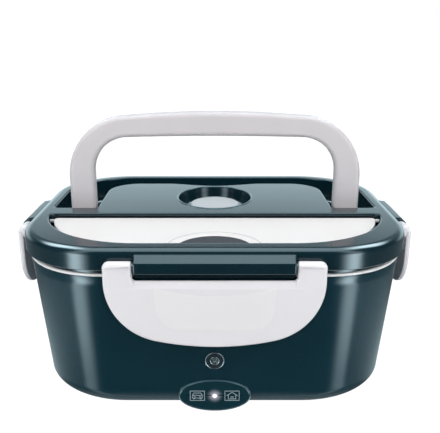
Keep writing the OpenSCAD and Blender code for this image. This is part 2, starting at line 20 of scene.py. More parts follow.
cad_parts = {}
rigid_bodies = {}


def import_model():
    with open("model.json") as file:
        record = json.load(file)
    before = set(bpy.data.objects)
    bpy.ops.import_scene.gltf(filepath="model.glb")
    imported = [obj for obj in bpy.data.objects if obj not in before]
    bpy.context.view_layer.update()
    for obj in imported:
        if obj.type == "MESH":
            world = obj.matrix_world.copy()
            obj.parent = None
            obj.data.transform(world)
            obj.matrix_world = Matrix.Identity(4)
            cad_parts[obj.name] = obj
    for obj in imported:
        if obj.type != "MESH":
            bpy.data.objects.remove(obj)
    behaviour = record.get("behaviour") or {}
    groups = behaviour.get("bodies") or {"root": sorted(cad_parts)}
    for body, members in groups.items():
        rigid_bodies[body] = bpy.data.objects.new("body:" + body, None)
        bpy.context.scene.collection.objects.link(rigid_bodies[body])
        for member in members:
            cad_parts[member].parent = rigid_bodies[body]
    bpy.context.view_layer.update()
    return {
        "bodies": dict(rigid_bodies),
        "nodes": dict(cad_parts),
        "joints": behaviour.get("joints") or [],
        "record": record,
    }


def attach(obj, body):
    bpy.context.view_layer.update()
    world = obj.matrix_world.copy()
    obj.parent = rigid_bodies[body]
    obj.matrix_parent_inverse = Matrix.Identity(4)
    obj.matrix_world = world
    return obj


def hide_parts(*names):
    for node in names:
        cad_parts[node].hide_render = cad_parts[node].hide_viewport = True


logging.basicConfig(level=logging.INFO, format="%(message)s")
LOG = logging.getLogger("lunch_box")

MM = 0.001
SHARP = 32.0  # degrees; an edge that turns further stays sharp

Point = tuple[float, float]
Corner = tuple[float, float, float]  # two coordinates and a radius
Step = tuple[float, float]  # offset from an outline, level along its normal
Ring = tuple[Sequence[Point], float]  # an outline's points and their level


# ---------------------------------------------------------------- named options


class Body(Enum):
    """Moving bodies of the frame."""

    BASE = "base"
    LID = "lid"
    FRONT_CLIP = "front_clip"
    RIGHT_CLIP = "right_clip"
    LEFT_CLIP = "left_clip"
    HANDLE = "handle"
    COVER = "cutlery_flap"
    VENT = "vent"


class Slot(Enum):
    """Material slots of the record."""

    TEAL = "teal_gloss"
    WHITE = "white_gloss"
    LINER = "liner_white"
    HANDLE = "handle_satin"
    PANEL = "panel_gloss"
    BEZEL = "bezel_teal"
    LENS = "lens_clear"
    EMBLEM = "emblem_metal"
    STEEL = "stainless"
    CLEAR = "clear_plastic"
    PALE_SILICONE = "silicone_pale"
    DARK_SILICONE = "silicone_dark"


class Side(Enum):
    """Sides of the box, each with its turn from the front in degrees."""

    FRONT = 0
    REAR = 180
    RIGHT = 90
    LEFT = -90


class Facing(Enum):
    """Which way the plane of an outline lies in the frame."""

    PLAN = "plan"
    FRONT = "front"
    END = "end"

    def place(self, u: float, v: float, w: float) -> Vector:
        """Turns outline coordinates into frame coordinates.

        Args:
            u: first outline coordinate, mm.
            v: second outline coordinate, mm.
            w: distance along the outline's normal, mm.

        Returns:
            The point in metres.
        """
        if self is Facing.PLAN:
            return Vector((u, v, w)) * MM
        if self is Facing.FRONT:
            return Vector((u, -w, v)) * MM
        return Vector((w, u, v)) * MM


# ---------------------------------------------------------------- outlines


def arc(cx: float, cy: float, r: float, a0: float, a1: float, step: float = 4.0) -> list[Point]:
    """Points of a circular arc.

    Args:
        cx: centre, first coordinate.
        cy: centre, second coordinate.
        r: radius.
        a0: start angle in degrees.
        a1: end angle in degrees.
        step: largest angle between points in degrees.

    Returns:
        Points from a0 to a1, both ends included.
    """
    n = max(1, math.ceil(abs(a1 - a0) / step))
    turns = [math.radians(a0 + (a1 - a0) * i / n) for i in range(n + 1)]
    return [(cx + r * math.cos(a), cy + r * math.sin(a)) for a in turns]


def rounded_rect(w: float, d: float, r: float, step: float = 3.0) -> list[Point]:
    """Rounded rectangle about the origin, counter-clockwise.

    Args:
        w: full width.
        d: full depth.
        r: corner radius.
        step: largest angle between arc points in degrees.

    Returns:
        The outline's points, always the same number for the same step.
    """
    x, y = w / 2 - r, d / 2 - r
    out: list[Point] = []
    for cx, cy, a in ((x, y, 0), (-x, y, 90), (-x, -y, 180), (x, -y, 270)):
        out += arc(cx, cy, r, a, a + 90, step)
    return out


def softened(corners: Iterable[Corner], step: float = 6.0) -> list[Point]:
    """Closed outline through corners, each rounded by its own radius.

    Args:
        corners: (u, v, radius) in order.
        step: largest angle between arc points in degrees.

    Returns:
        The rounded outline's points.
    """
    pts = list(corners)
    out: list[Point] = []
    for i, (x, y, r) in enumerate(pts):
        p = Vector((x, y))
        if r <= 0:
            out.append((x, y))
            continue
        a = (Vector(pts[i - 1][:2]) - p).normalized()
        b = (Vector(pts[(i + 1) % len(pts)][:2]) - p).normalized()
        half = a.angle(b) / 2
        c = p + (a + b).normalized() * (r / math.sin(half))
        p0, p1 = p + a * (r / math.tan(half)), p + b * (r / math.tan(half))
        t0 = math.atan2(p0.y - c.y, p0.x - c.x)
        t1 = math.atan2(p1.y - c.y, p1.x - c.x)
        turn = (t1 - t0 + math.pi) % (2 * math.pi) - math.pi
        out += arc(c.x, c.y, r, math.degrees(t0), math.degrees(t0 + turn), step)
    return out


@dataclass(frozen=True)
class Contour:
    """Closed counter-clockwise outline that can be moved in or out."""

    points: tuple[Point, ...]

    @classmethod
    def of(cls, points: Iterable[Point], same: float = 1e-4) -> "Contour":
        """Drops doubled points and makes the outline counter-clockwise.

        Args:
            points: the outline's points in either direction.
            same: distance under which two points are one, mm.

        Returns:
            The contour.
        """
        kept: list[Point] = []
        for p in points:
            if not kept or math.dist(p, kept[-1]) > same:
                kept.append(p)
        if math.dist(kept[0], kept[-1]) < same:
            kept.pop()
        area = sum(a[0] * b[1] - b[0] * a[1] for a, b in zip(kept, kept[1:] + kept[:1]))
        return cls(tuple(kept if area > 0 else kept[::-1]))

    def moved(self, d: float) -> list[Point]:
        """Moves the outline, mitred at its corners.

        Args:
            d: distance outwards, inwards if negative.

        Returns:
            The moved points, as many as before.
        """
        out, n = [], len(self.points)
        for i, p in enumerate(self.points):
            a = Vector(p) - Vector(self.points[i - 1])
            b = Vector(self.points[(i + 1) % n]) - Vector(p)
            na = Vector((a.y, -a.x)).normalized()
            nb = Vector((b.y, -b.x)).normalized()
            m = (na + nb).normalized()
            out.append((p[0] + m.x * d / max(m.dot(na), 0.5), p[1] + m.y * d / max(m.dot(na), 0.5)))
        return out

    def rings(self, steps: Iterable[Step]) -> list[Ring]:
        """The outline at each (offset, level) step."""
        return [(self.moved(d), w) for d, w in steps]


def circle(r: float, step: float, x: float = 0.0, y: float = 0.0) -> Contour:
    """Full circle of radius r about (x, y), with a point every step degrees."""
    return Contour.of((x + u, y + v) for u, v in arc(0, 0, r, 0, 360 - step, step))


def edge_round(r: float, top: float, hole: bool = False, n: int = 5) -> list[Step]:
    """Steps of a quarter round from an outline's wall up on to a face.

    Args:
        r: radius of the round, mm.
        top: the level of the face.
        hole: True turns outwards, on to a face around a hole.
        n: segments.

    Returns:
        (offset, level) steps, with a support step on either flat.
    """
    s, rest = (1 if hole else -1), 0.25
    turns = [math.pi / 2 * i / n for i in range(n + 1)]
    steps = [(s * r * (1 - math.cos(a)), top - r + r * math.sin(a)) for a in turns]
    return [(0, top - r - rest), *steps, (s * (r + rest), top)]


def rounding(r: float, turns: Sequence[float] | None = None) -> list[Step]:
    """Quarter round between a face and a side.

    Args:
        r: radius of the round, mm.
        turns: angles of its points from the face in radians, else seven even ones.

    Returns:
        (offset, depth below the face) steps, from the face to the side.
    """
    turns = turns or [math.pi / 2 * k / 6 for k in range(7)]
    return [(-r + r * math.sin(a), r - r * math.cos(a)) for a in turns]


# ---------------------------------------------------------------- finishes


def linear(code: str) -> tuple[float, float, float, float]:
    """Turns an sRGB hex code into a linear colour.

    Args:
        code: six hex digits with a leading #.

    Returns:
        Linear red, green, blue and alpha 1.
    """
    c = [int(code[i:i + 2], 16) / 255 for i in (1, 3, 5)]
    r, g, b = (v / 12.92 if v <= 0.04045 else ((v + 0.055) / 1.055) ** 2.4 for v in c)
    return (r, g, b, 1.0)


def add(tree: bpy.types.NodeTree, kind: str,
        links: dict[int | str, bpy.types.NodeSocket] | None = None,
        **values: object) -> bpy.types.Node:
    """Adds a node, sets its sockets and properties, and links its inputs.

    Args:
        tree: the node tree.
        kind: Blender's node type name.
        links: input socket name or number -> output socket.
        **values: properties; names that start with in_ set an input socket.

    Returns:
        The new node.
    """
    node = tree.nodes.new(kind)
    for key, value in values.items():
        if key.startswith("in_"):
            name = key[3:]
            which = int(name) if name.isdigit() else name.replace("_", " ")
            node.inputs[which].default_value = value
        else:
            setattr(node, key, value)
    for key, socket in (links or {}).items():
        tree.links.new(socket, node.inputs[key])
    return node


def empty_tree(owner: bpy.types.Material | bpy.types.World) -> bpy.types.NodeTree:
    """Starts the nodes of a material or world afresh.

    Args:
        owner: the material or world.

    Returns:
        Its emptied node tree.
    """
    owner.use_nodes = True
    owner.node_tree.nodes.clear()
    return owner.node_tree


@dataclass(frozen=True)
class Finish:
    """One surface: its colour, its gloss and the fine relief that its process leaves."""

    name: str
    colour: str
    second: str  # colour that the first drifts towards in soft clouds
    roughness: float
    spread: float = 0.04  # how far the clouds change the roughness either way
    metallic: float = 0.0
    coat: float = 0.0
    coat_roughness: float = 0.05
    ior: float = 1.5  # ABS, PP and PC lie close to it, and metals keep the default
    specular: float = 0.5
    grain_mm: float = 0.6  # pitch of the mould's or the tool's grain
    grain_depth_mm: float = 0.2
    relief: float = 0.02  # strength of that grain
    cloud_mm: float = 30.0  # width of the clouds, about a flow mark's
    stretch: tuple[float, float, float] = (1.0, 1.0, 1.0)
    transmission: float = 0.0
    alpha: float = 1.0
    subsurface: float = 0.0
    soft_mm: float = 4.0  # how far light runs in milky plastic
    emission: float = 0.0
    glow_mm: float = 0.0  # reach of the lamp's glow
    glow_at: tuple[float, float, float] = (0.0, 0.0, 0.0)
    glow_colour: str = "#f4f0ff"
    glow_fall: float = 2.2  # how steeply it fades

    def material(self) -> bpy.types.Material:
        """Builds the material, or returns the one already built.

        Returns:
            The Blender material.
        """
        found = bpy.data.materials.get(self.name)
        if found:
            return found
        mat = bpy.data.materials.new(self.name)
        t = empty_tree(mat)
        at = add(t, "ShaderNodeTexCoord").outputs["Object"]
        space = add(t, "ShaderNodeMapping", {"Vector": at}, in_Scale=self.stretch)
        cloud, grain = (add(t, "ShaderNodeTexNoise", {"Vector": space.outputs[0]},
                            in_Scale=1 / (size * MM), in_Detail=detail).outputs["Fac"]
                        for size, detail in ((self.cloud_mm, 3.0), (self.grain_mm, 2.0)))
        tint = add(t, "ShaderNodeMix", {"Factor": cloud}, data_type="RGBA",
                   in_6=linear(self.colour), in_7=linear(self.second))
        gloss = add(t, "ShaderNodeMapRange", {"Value": cloud},
                    in_To_Min=self.roughness - self.spread,
                    in_To_Max=self.roughness + self.spread)
        bump = add(t, "ShaderNodeBump", {"Height": grain}, in_Strength=self.relief,
                   in_Distance=self.grain_depth_mm * MM)
        shader = add(t, "ShaderNodeBsdfPrincipled",
                     {"Base Color": tint.outputs[2], "Roughness": gloss.outputs[0],
                      "Normal": bump.outputs[0]},
                     in_Metallic=self.metallic, in_IOR=self.ior, in_Alpha=self.alpha,
                     in_Specular_IOR_Level=self.specular, in_Coat_Weight=self.coat,
                     in_Coat_Roughness=self.coat_roughness,
                     in_Transmission_Weight=self.transmission)
        if self.subsurface:
            shader.inputs["Subsurface Weight"].default_value = self.subsurface
            shader.inputs["Subsurface Radius"].default_value = (self.soft_mm * MM,) * 3
            shader.inputs["Subsurface Scale"].default_value = 0.5
        if self.glow_mm:
            self.light_up(t, at, shader)
        add(t, "ShaderNodeOutputMaterial", {"Surface": shader.outputs[0]})
        mat.diffuse_color = linear(self.colour)
        return mat

    def light_up(self, t: bpy.types.NodeTree, at: bpy.types.NodeSocket,
                 shader: bpy.types.Node) -> None:
        """Paints a glow into the surface's emission that fades with the distance from its lamp.

        Args:
            t: the material's node tree.
            at: the point being shaded, in the frame.
            shader: the surface's shader.
        """
        away = add(t, "ShaderNodeVectorMath", {0: at}, operation="DISTANCE",
                   in_1=[c * MM for c in self.glow_at])
        fade = add(t, "ShaderNodeMapRange", {"Value": away.outputs["Value"]},
                   in_From_Max=self.glow_mm * MM, in_To_Min=1.0, in_To_Max=0.0)
        fall = add(t, "ShaderNodeMath", {0: fade.outputs[0]}, operation="POWER",
                   in_1=self.glow_fall)
        level = add(t, "ShaderNodeMath", {0: fall.outputs[0]}, operation="MULTIPLY",
                    in_1=self.emission)
        shader.inputs["Emission Strength"].default_value = self.emission
        t.links.new(level.outputs[0], shader.inputs["Emission Strength"])
        shader.inputs["Emission Color"].default_value = linear(self.glow_colour)


class Finishes:
    """Every finish on the object, named for its material and how its surface was made."""

    # ABS out of a polished mould: deep teal with clear, slightly soft reflections
    HOUSING = Finish("abs_teal_gloss_moulded", "#10303a", "#123440", 0.17, 0.03, coat=0.3,
                     coat_roughness=0.06, relief=0.012, grain_mm=1.2)
    # the lid's ABS: darker under a thicker skin, so its highlights look brighter and wider
    LID = Finish("abs_teal_gloss_lid_moulded", "#0b252d", "#0d2932", 0.18, 0.03, coat=0.35,
                 coat_roughness=0.1, relief=0.02, grain_mm=0.9)
    # semi-gloss PP: nearly white, a faint cool tint and a broad soft sheen
    CLIP = Finish("pp_white_semi_gloss_moulded", "#eeedf1", "#eae9ed", 0.34, 0.04, subsurface=0.12)
    # PP from an etched patch of the mould: matt and more neutral, so its border just shows
    FIELD = Finish("pp_white_matt_field_moulded", "#f3f2f4", "#efeef1", 0.42, 0.04, subsurface=0.12)
    # PP in a warmer white: even and quiet, with no hard highlight
    COVER = Finish("pp_white_cover_moulded", "#f5f2f1", "#f2efee", 0.38, 0.04, subsurface=0.12)
    # PP with a satin mould texture: warm grey white, and light spreads over the round edges
    HANDLE = Finish("pp_warm_white_satin_moulded", "#d9d5d8", "#d4d0d4", 0.4, 0.05, relief=0.06,
                    grain_mm=0.5, subsurface=0.1)
    # food-grade PP, the purest white: a thin bright line under the dark lid
    LINER = Finish("pp_white_liner_moulded", "#fafbfc", "#f6f7f8", 0.3, 0.04, subsurface=0.1)
    # PP bead in the cover's white, coloured darker as painted shade so that it reads as a fine
    # shaded line
    RIM = Finish("pp_white_cover_rim_painted_shade", "#cdcbce", "#c8c6c9", 0.4, 0.04)
    # moulded TPE grip pad in the finger notch: matt and hardly reflecting, its dark grey painted
    # shade for the shadow in the notch
    INSERT = Finish("tpe_grip_painted_notch_shade", "#27272b", "#2c2c30", 0.55, 0.05, specular=0.3,
                    relief=0.03)
    # moulded silicone: pale, milky and a little waxy
    PLUG = Finish("silicone_pale_moulded", "#cfd4d8", "#c8ced2", 0.42, 0.06, relief=0.05,
                  subsurface=0.2)
    # moulded black silicone: dull, with a dusty look
    RUBBER = Finish("silicone_dark_moulded", "#24282b", "#1f2326", 0.6, 0.08, relief=0.12)
    # polyamide with a fine eroded texture: flat black without clear reflections
    BLACK = Finish("pa_black_fine_texture", "#14181a", "#1a1f21", 0.5, 0.06, relief=0.15,
                   grain_mm=0.4)
    # polished ABS trim with a crisp glint, coloured a lighter teal than the body as painted
    # highlight on the panel's trim and the vent's rim
    BEZEL = Finish("abs_teal_trim_painted_highlight", "#3f5c66", "#476570", 0.14, 0.03, coat=0.4,
                   relief=0.01)
    # stainless sheet, deep drawn and brushed along its length: long streaks in the highlights
    STEEL = Finish("stainless_brushed_drawn", "#c9cccd", "#b9bcbe", 0.3, 0.08, metallic=1.0,
                   grain_mm=1.2, relief=0.15, cloud_mm=12.0, stretch=(0.05, 1.0, 1.0))
    # stainless, pressed and polished: bright, nearly a mirror
    POLISHED = Finish("stainless_polished_pressed", "#d4d6d7", "#c8cacc", 0.12, 0.05, metallic=1.0,
                      relief=0.03)
    # turned steel with zinc plating: grey glints broken up by the tool marks
    PLATED = Finish("steel_zinc_plated_turned", "#b3b7ba", "#a3a7ab", 0.3, 0.08, metallic=1.0,
                    relief=0.1, grain_mm=0.3)
    # satin aluminium: soft pale rings that catch the light at the edge
    EMBLEM = Finish("aluminium_satin_disc", "#c3c7ca", "#b4b8bb", 0.32, 0.06, metallic=1.0,
                    relief=0.1, grain_mm=0.25)
    # ground aluminium plate: dull metal with streaks along the grinding
    PLATE = Finish("aluminium_plate_satin", "#bfc3c6", "#b1b5b8", 0.4, 0.08, metallic=1.0,
                   relief=0.15, stretch=(0.1, 1.0, 1.0))
    # ceramic heater wrapped in film: plain, yellowish and slightly wrinkled
    HEATER = Finish("ceramic_heater_film_wrapped", "#d8cfb8", "#cbbf9f", 0.45, 0.08, relief=0.1)
    # circuit board under solder mask: green gloss over a faint weave
    BOARD = Finish("circuit_board_solder_mask", "#1b5f38", "#216b40", 0.3, 0.08, relief=0.2,
                   grain_mm=1.5)
    # clear moulded PP: see-through with a cool grey cast
    CLEAR = Finish("pp_clear_tray_moulded", "#dfe8eb", "#d8e2e6", 0.18, 0.04, transmission=0.6,
                   alpha=0.6)
    # moulded polycarbonate over a lit LED: white in the middle, fading to grey
    LENS = Finish("pc_lens_lit_white", "#46565e", "#4c5c64", 0.2, 0.02, emission=3.5, glow_mm=2.6,
                  glow_at=(0, -79.4, 15.6))
    # polished ABS with a painted glow: the LED's halo painted as emission a few millimetres around
    # the lens
    PANEL = Finish("abs_teal_panel_painted_glow", "#12323c", "#143640", 0.12, 0.02, coat=0.3,
                   relief=0.01, emission=0.9, glow_mm=5.5, glow_at=(0, -79.2, 15.6))
    # baked enamel: an even dark ground between the badge's rings
    ENAMEL = Finish("enamel_dark_badge_field", "#1d2b32", "#223037", 0.3, 0.03)
    # pad-printed ink: thin pale lines without gloss
    PRINT = Finish("ink_pale_pad_print", "#9fb0b6", "#94a6ad", 0.4, 0.04)
    # extruded silicone skins of the wires: dull, even colour
    WIRE_RED = Finish("wire_red_silicone", "#9a2b26", "#8c2520", 0.5, 0.05)
    WIRE_BLACK = Finish("wire_black_silicone", "#1c1e20", "#232629", 0.5, 0.05)
    WIRE_WHITE = Finish("wire_white_silicone", "#d9d9d9", "#cfcfcf", 0.5, 0.05)


# ---------------------------------------------------------------- mesh pieces


class Shell:
    """Collects rings of points, the skins between them and their caps."""

    def __init__(self, facing: Facing = Facing.PLAN, place: Matrix | None = None) -> None:
        """Starts an empty shell.

        Args:
            facing: the plane of the outlines.
            place: extra placement in metres, applied last.
        """
        self.facing = facing
        self.place = Matrix() if place is None else place
        self.verts: list[Vector] = []
        self.faces: list[tuple[int, ...]] = []

    def loop(self, points: Iterable[Vector]) -> list[int]:
        """Adds one closed loop.

        Args:
            points: its points in metres, in order.

        Returns:
            The points' indices.
        """
        start = len(self.verts)
        self.verts += [self.place @ p for p in points]
        return list(range(start, len(self.verts)))

    def ring(self, points: Sequence[Point], w: float) -> list[int]:
        """Adds an outline at level w and returns its indices."""
        return self.loop(self.facing.place(u, v, w) for u, v in points)

    def bridge(self, a: Sequence[int], b: Sequence[int]) -> None:
        """Joins two rings of the same count with four-sided faces.

        Args:
            a: indices of the first ring.
            b: indices of the second ring.
        """
        n = len(a)
        for i in range(n):
            self.faces.append((a[i], a[(i + 1) % n], b[(i + 1) % n], b[i]))

    def fill(self, outer: Sequence[int], *holes: Sequence[int]) -> None:
        """Closes a flat ring.

        Args:
            outer: indices of the ring.
            *holes: indices of rings inside it that stay open.
        """
        loops = [list(outer), *map(list, holes)]
        flat = [i for loop in loops for i in loop]
        for tri in tessellate_polygon([[self.verts[i] for i in loop] for loop in loops]):
            self.faces.append(tuple(flat[i] for i in tri))

    def skin(self, rings: Iterable[Ring]) -> tuple[list[int], list[int]]:
        """Joins rings in order.

        Args:
            rings: outlines with as many points each, and their levels.

        Returns:
            Indices of the first and of the last ring.
        """
        loops = [self.ring(points, w) for points, w in rings]
        for a, b in zip(loops, loops[1:]):
            self.bridge(a, b)
        return loops[0], loops[-1]

    def solid(self, rings: Iterable[Ring]) -> None:
        """Joins rings in order and closes both ends.

        Args:
            rings: outlines with as many points each, and their levels.
        """
        for end in self.skin(rings):
            self.fill(end)

    def hoop(self, rings: Iterable[Ring]) -> None:
        """Joins rings in order, and the last one to the first."""
        first, last = self.skin(rings)
        self.bridge(last, first)

    def mesh(self, name: str, sharp: float = SHARP) -> bpy.types.Mesh:
        """Makes the mesh, smooth except over its sharp edges.

        Args:
            name: the mesh's name.
            sharp: angle above which an edge stays sharp, in degrees.

        Returns:
            The mesh, closed up and with its normals outwards.
        """
        mesh = bpy.data.meshes.new(name)
        mesh.from_pydata(self.verts, [], self.faces)
        bm = bmesh.new()
        bm.from_mesh(mesh)
        bmesh.ops.remove_doubles(bm, verts=bm.verts, dist=1e-7)
        bmesh.ops.recalc_face_normals(bm, faces=bm.faces)
        bm.to_mesh(mesh)
        bm.free()
        mesh.shade_smooth()
        mesh.set_sharp_from_angle(angle=math.radians(sharp))
        return mesh


def dress(name: str, shell: Shell, finish: Finish, body: Body, slot: Slot, *stands_for: str,
          sharp: float = SHARP) -> bpy.types.Object:
    """Turns a shell into a finished piece of the object.

    Args:
        name: the piece's name.
        shell: its form, in the frame.
        finish: its surface.
        body: the body it moves with.
        slot: the record's material slot; not used.
        *stands_for: nodes that the piece replaces.
        sharp: angle above which an edge stays sharp, in degrees.

    Returns:
        The new object.
    """
    mesh = shell.mesh(name, sharp)
    obj = bpy.data.objects.new(name, mesh)
    bpy.context.scene.collection.objects.link(obj)
    mesh.materials.append(finish.material())
    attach(obj, body.value)
    if stands_for:
        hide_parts(*stands_for)
    LOG.info("piece %s: %d faces on %s", name, len(mesh.polygons), body.value)
    return obj


def cut(obj: bpy.types.Object, cutters: Iterable[bpy.types.Mesh]) -> None:
    """Cuts closed meshes out of a piece.

    Args:
        obj: the piece, whose mesh is changed.
        cutters: closed meshes in the frame.
    """
    for mesh in cutters:
        tool = bpy.data.objects.new("cutter", mesh)
        bpy.context.scene.collection.objects.link(tool)
        mod = obj.modifiers.new("cut", "BOOLEAN")
        mod.operation = "DIFFERENCE"
        mod.solver = "EXACT"
        mod.object = tool
        graph = bpy.context.evaluated_depsgraph_get()
        done = bpy.data.meshes.new_from_object(obj.evaluated_get(graph))
        obj.modifiers.clear()
        old, obj.data = obj.data, done
        bpy.data.meshes.remove(old)
        bpy.data.objects.remove(tool)
        bpy.data.meshes.remove(mesh)
    obj.data.shade_smooth()
    obj.data.set_sharp_from_angle(angle=math.radians(SHARP))


def tube(path: Sequence[Vector], r: float, sides: int = 12) -> Shell:
    """Makes a round tube closed at both ends.

    Args:
        path: the points of its middle line, mm.
        r: its radius, mm.
        sides: faces around it.

    Returns:
        The tube's shell.
    """
    shell = Shell()
    loops: list[list[int]] = []
    for i, p in enumerate(path):
        t = (path[min(i + 1, len(path) - 1)] - path[max(i - 1, 0)]).normalized()
        a = t.cross(Vector((0.03, 0.02, 1.0))).normalized()
        b = t.cross(a)
        turns = [2 * math.pi * k / sides for k in range(sides)]
        loops.append(shell.loop((p + r * (math.cos(q) * a + math.sin(q) * b)) * MM for q in turns))
    for near, far in zip(loops, loops[1:]):
        shell.bridge(near, far)
    shell.faces += [tuple(loops[0]), tuple(loops[-1])]
    return shell


# ---------------------------------------------------------------- sub-assemblies


@dataclass
class Plan:
    """The rounded plan shared by housing, liner and lid, in millimetres."""

    w: float = 228.0
    d: float = 174.0
    r: float = 51.0
    rim_in: float = 2.1  # inset of the housing's upper edge
    rim_r: float = 50.5
    fuller: float = 3.0  # extra corner radius of what passes through the rim
    window_x: float = 43.5  # centres of the arcs round the cutlery window
    window_y: float = -15.4

    def ring(self, inset: float, r: float | None = None) -> list[Point]:
        """Moves the outline inwards.

        Args:
            inset: how far, mm.
            r: its own corner radius, else the one that the inset leaves.

        Returns:
            The outline's points.
        """
        radius = self.r - inset if r is None else r
        return rounded_rect(self.w - 2 * inset, self.d - 2 * inset, radius)

    def deep(self, inset: float) -> list[Point]:
        """Outline of the forms that pass through the rim, fuller in the corners."""
        return self.ring(inset, self.r + self.fuller - inset)

    def bowl(self, inset: float, run: float, r: float, z: float, drop: float,
             n: int = 8) -> list[Ring]:
        """Rounds a wall in to its floor.

        Args:
            inset: where the wall ends.
            run: how far the round runs in.
            r: corner radius.
            z: level at which the round starts.
            drop: its height.
            n: segments.

        Returns:
            Its rings from the wall down, without the wall's own.
        """
        turns = [math.pi / 2 * i / n for i in range(1, n + 1)]
        return [(self.ring(inset + run * (1 - math.cos(a)), r), z - drop * math.sin(a))
                for a in turns]

    def edge(self, side: Side) -> Matrix:
        """Placement of a form drawn on the front edge.

        Args:
            side: where the form goes.

        Returns:
            The placement in metres, with the lid's edge in its y = 0 plane.
        """
        wall = (self.d if side in (Side.FRONT, Side.REAR) else self.w) / 2
        turn = Matrix.Rotation(math.radians(side.value), 4, "Z")
        return turn @ Matrix.Translation((0, -wall * MM, 0))


@dataclass
class Housing:
    """Outer tub with its tapered wall and rounded bottom edge, and what shows on it."""

    plan: Plan
    rim: float = 93.3
    rim_nominal: float = 95.5  # level at which the wall has the plan's rim inset
    bend: float = 19.0  # level at which the bottom's round starts
    floor: float = 3.0
    slope: float = 0.09
    round_in: float = 21.5
    drop: float = 5.0  # corner radius lost between rim and bend
    badge_z: float = 39.2
    badge_r: float = 5.65
    foot_r: float = 7.0
    foot_x: float = 46.0
    foot_y: float = 38.0

    def inset(self, z: float) -> float:
        """How far the wall lies inside the plan at height z."""
        return self.plan.rim_in + self.slope * (self.rim_nominal - z)

    def build(self) -> None:
        """Makes the tub, the catch beads, the badge and the feet."""
        r0, r1 = self.plan.rim_r, self.plan.rim_r - self.drop
        lip = ((2.0, self.rim - 6), (2.0, self.rim), (0.6, self.rim), (0.2, self.rim - 0.12))
        rings = [(self.plan.ring(self.inset(self.rim) + off, r0 - off), z) for off, z in lip]
        start, rows = self.rim - 0.5, 12
        for i in range(rows + 1):
            z = start - (start - self.bend) * i / rows
            rings.append((self.plan.ring(self.inset(z), r0 - self.drop * i / rows), z))
        rings += self.plan.bowl(self.inset(self.bend), self.round_in, r1, self.bend,
                                self.bend - self.floor, 18)
        end = self.inset(self.bend) + self.round_in
        rings.append((self.plan.ring(end + 0.5, r1 - 0.5), self.floor))
        shell = Shell()
        _, last = shell.skin(rings)
        shell.fill(last)
        dress("housing_tub", shell, Finishes.HOUSING, Body.BASE, Slot.TEAL, "outer_housing")
        self.beads()
        self.badge()
        self.feet()

    def beads(self) -> None:
        """Catch beads that the clips' ribs snap under."""
        root, nose = -4, -0.8
        bead = Contour.of(softened([(root, 80.5, 0.2), (nose, 80.9, 0.9), (nose, 82.6, 0.9),
                                    (root, 83, 0.2)]))
        for side, half in ((Side.FRONT, 34), (Side.RIGHT, 14), (Side.LEFT, 14)):
            shell = Shell(Facing.END, self.plan.edge(side) @ Matrix.Diagonal((1, -1, 1, 1)))
            shell.solid(bead.rings([(-0.5, -half), (-0.12, -half + 0.2), (0, -half + 0.6),
                                    (0, half - 0.6), (-0.12, half - 0.2), (-0.5, half)]))
            dress(f"catch_bead_{side.name.lower()}", shell, Finishes.HOUSING, Body.BASE, Slot.TEAL)

    def badge(self) -> None:
        """A bare turned disc with rings in place of any mark."""
        z, fine = self.badge_z, 25.0
        y = self.inset(z) - self.plan.d / 2
        tilt = math.pi / 2 + math.atan(self.slope)
        place = Matrix.Translation((0, y * MM, z * MM)) @ Matrix.Rotation(tilt, 4, "X")
        disc = circle(self.badge_r, 5)
        ground = Shell(place=place)
        ground.solid(disc.rings([(0, -0.5), (0, 0.3), (-0.15, 0.35), (-5.0, 0.35)]))
        dress("badge_disc", ground, Finishes.ENAMEL, Body.BASE, Slot.EMBLEM, "emblem_disc",
              sharp=fine)
        for name, outer, inner in (("rim", 0.0, 0.5), ("ring", 2.9, 3.3), ("core", 3.8, 5.2)):
            band = Shell(place=place)
            band.hoop(disc.rings([(-outer - 0.05, 0.3), (-outer - 0.05, 0.42), (-outer - 0.15, 0.5),
                                  (0.15 - inner, 0.5), (-inner, 0.42), (-inner, 0.3)]))
            dress(f"badge_{name}", band, Finishes.EMBLEM, Body.BASE, Slot.EMBLEM, sharp=fine)

    def feet(self) -> None:
        """Four rubber feet with a rounded tread edge."""
        shell = Shell()
        for x in (-self.foot_x, self.foot_x):
            for y in (-self.foot_y, self.foot_y):
                shell.solid(circle(self.foot_r, 6, x, y).rings(
                    [(-0.3, 4.4), (0, 4.2), (0, 1.4), (-0.15, 0.7), (-0.6, 0.15), (-1.2, 0),
                     (-3, 0), (-3.3, 0.3), (-5, 0.3)]))
        dress("foot_pads", shell, Finishes.RUBBER, Body.BASE, Slot.DARK_SILICONE, "rubber_feet")


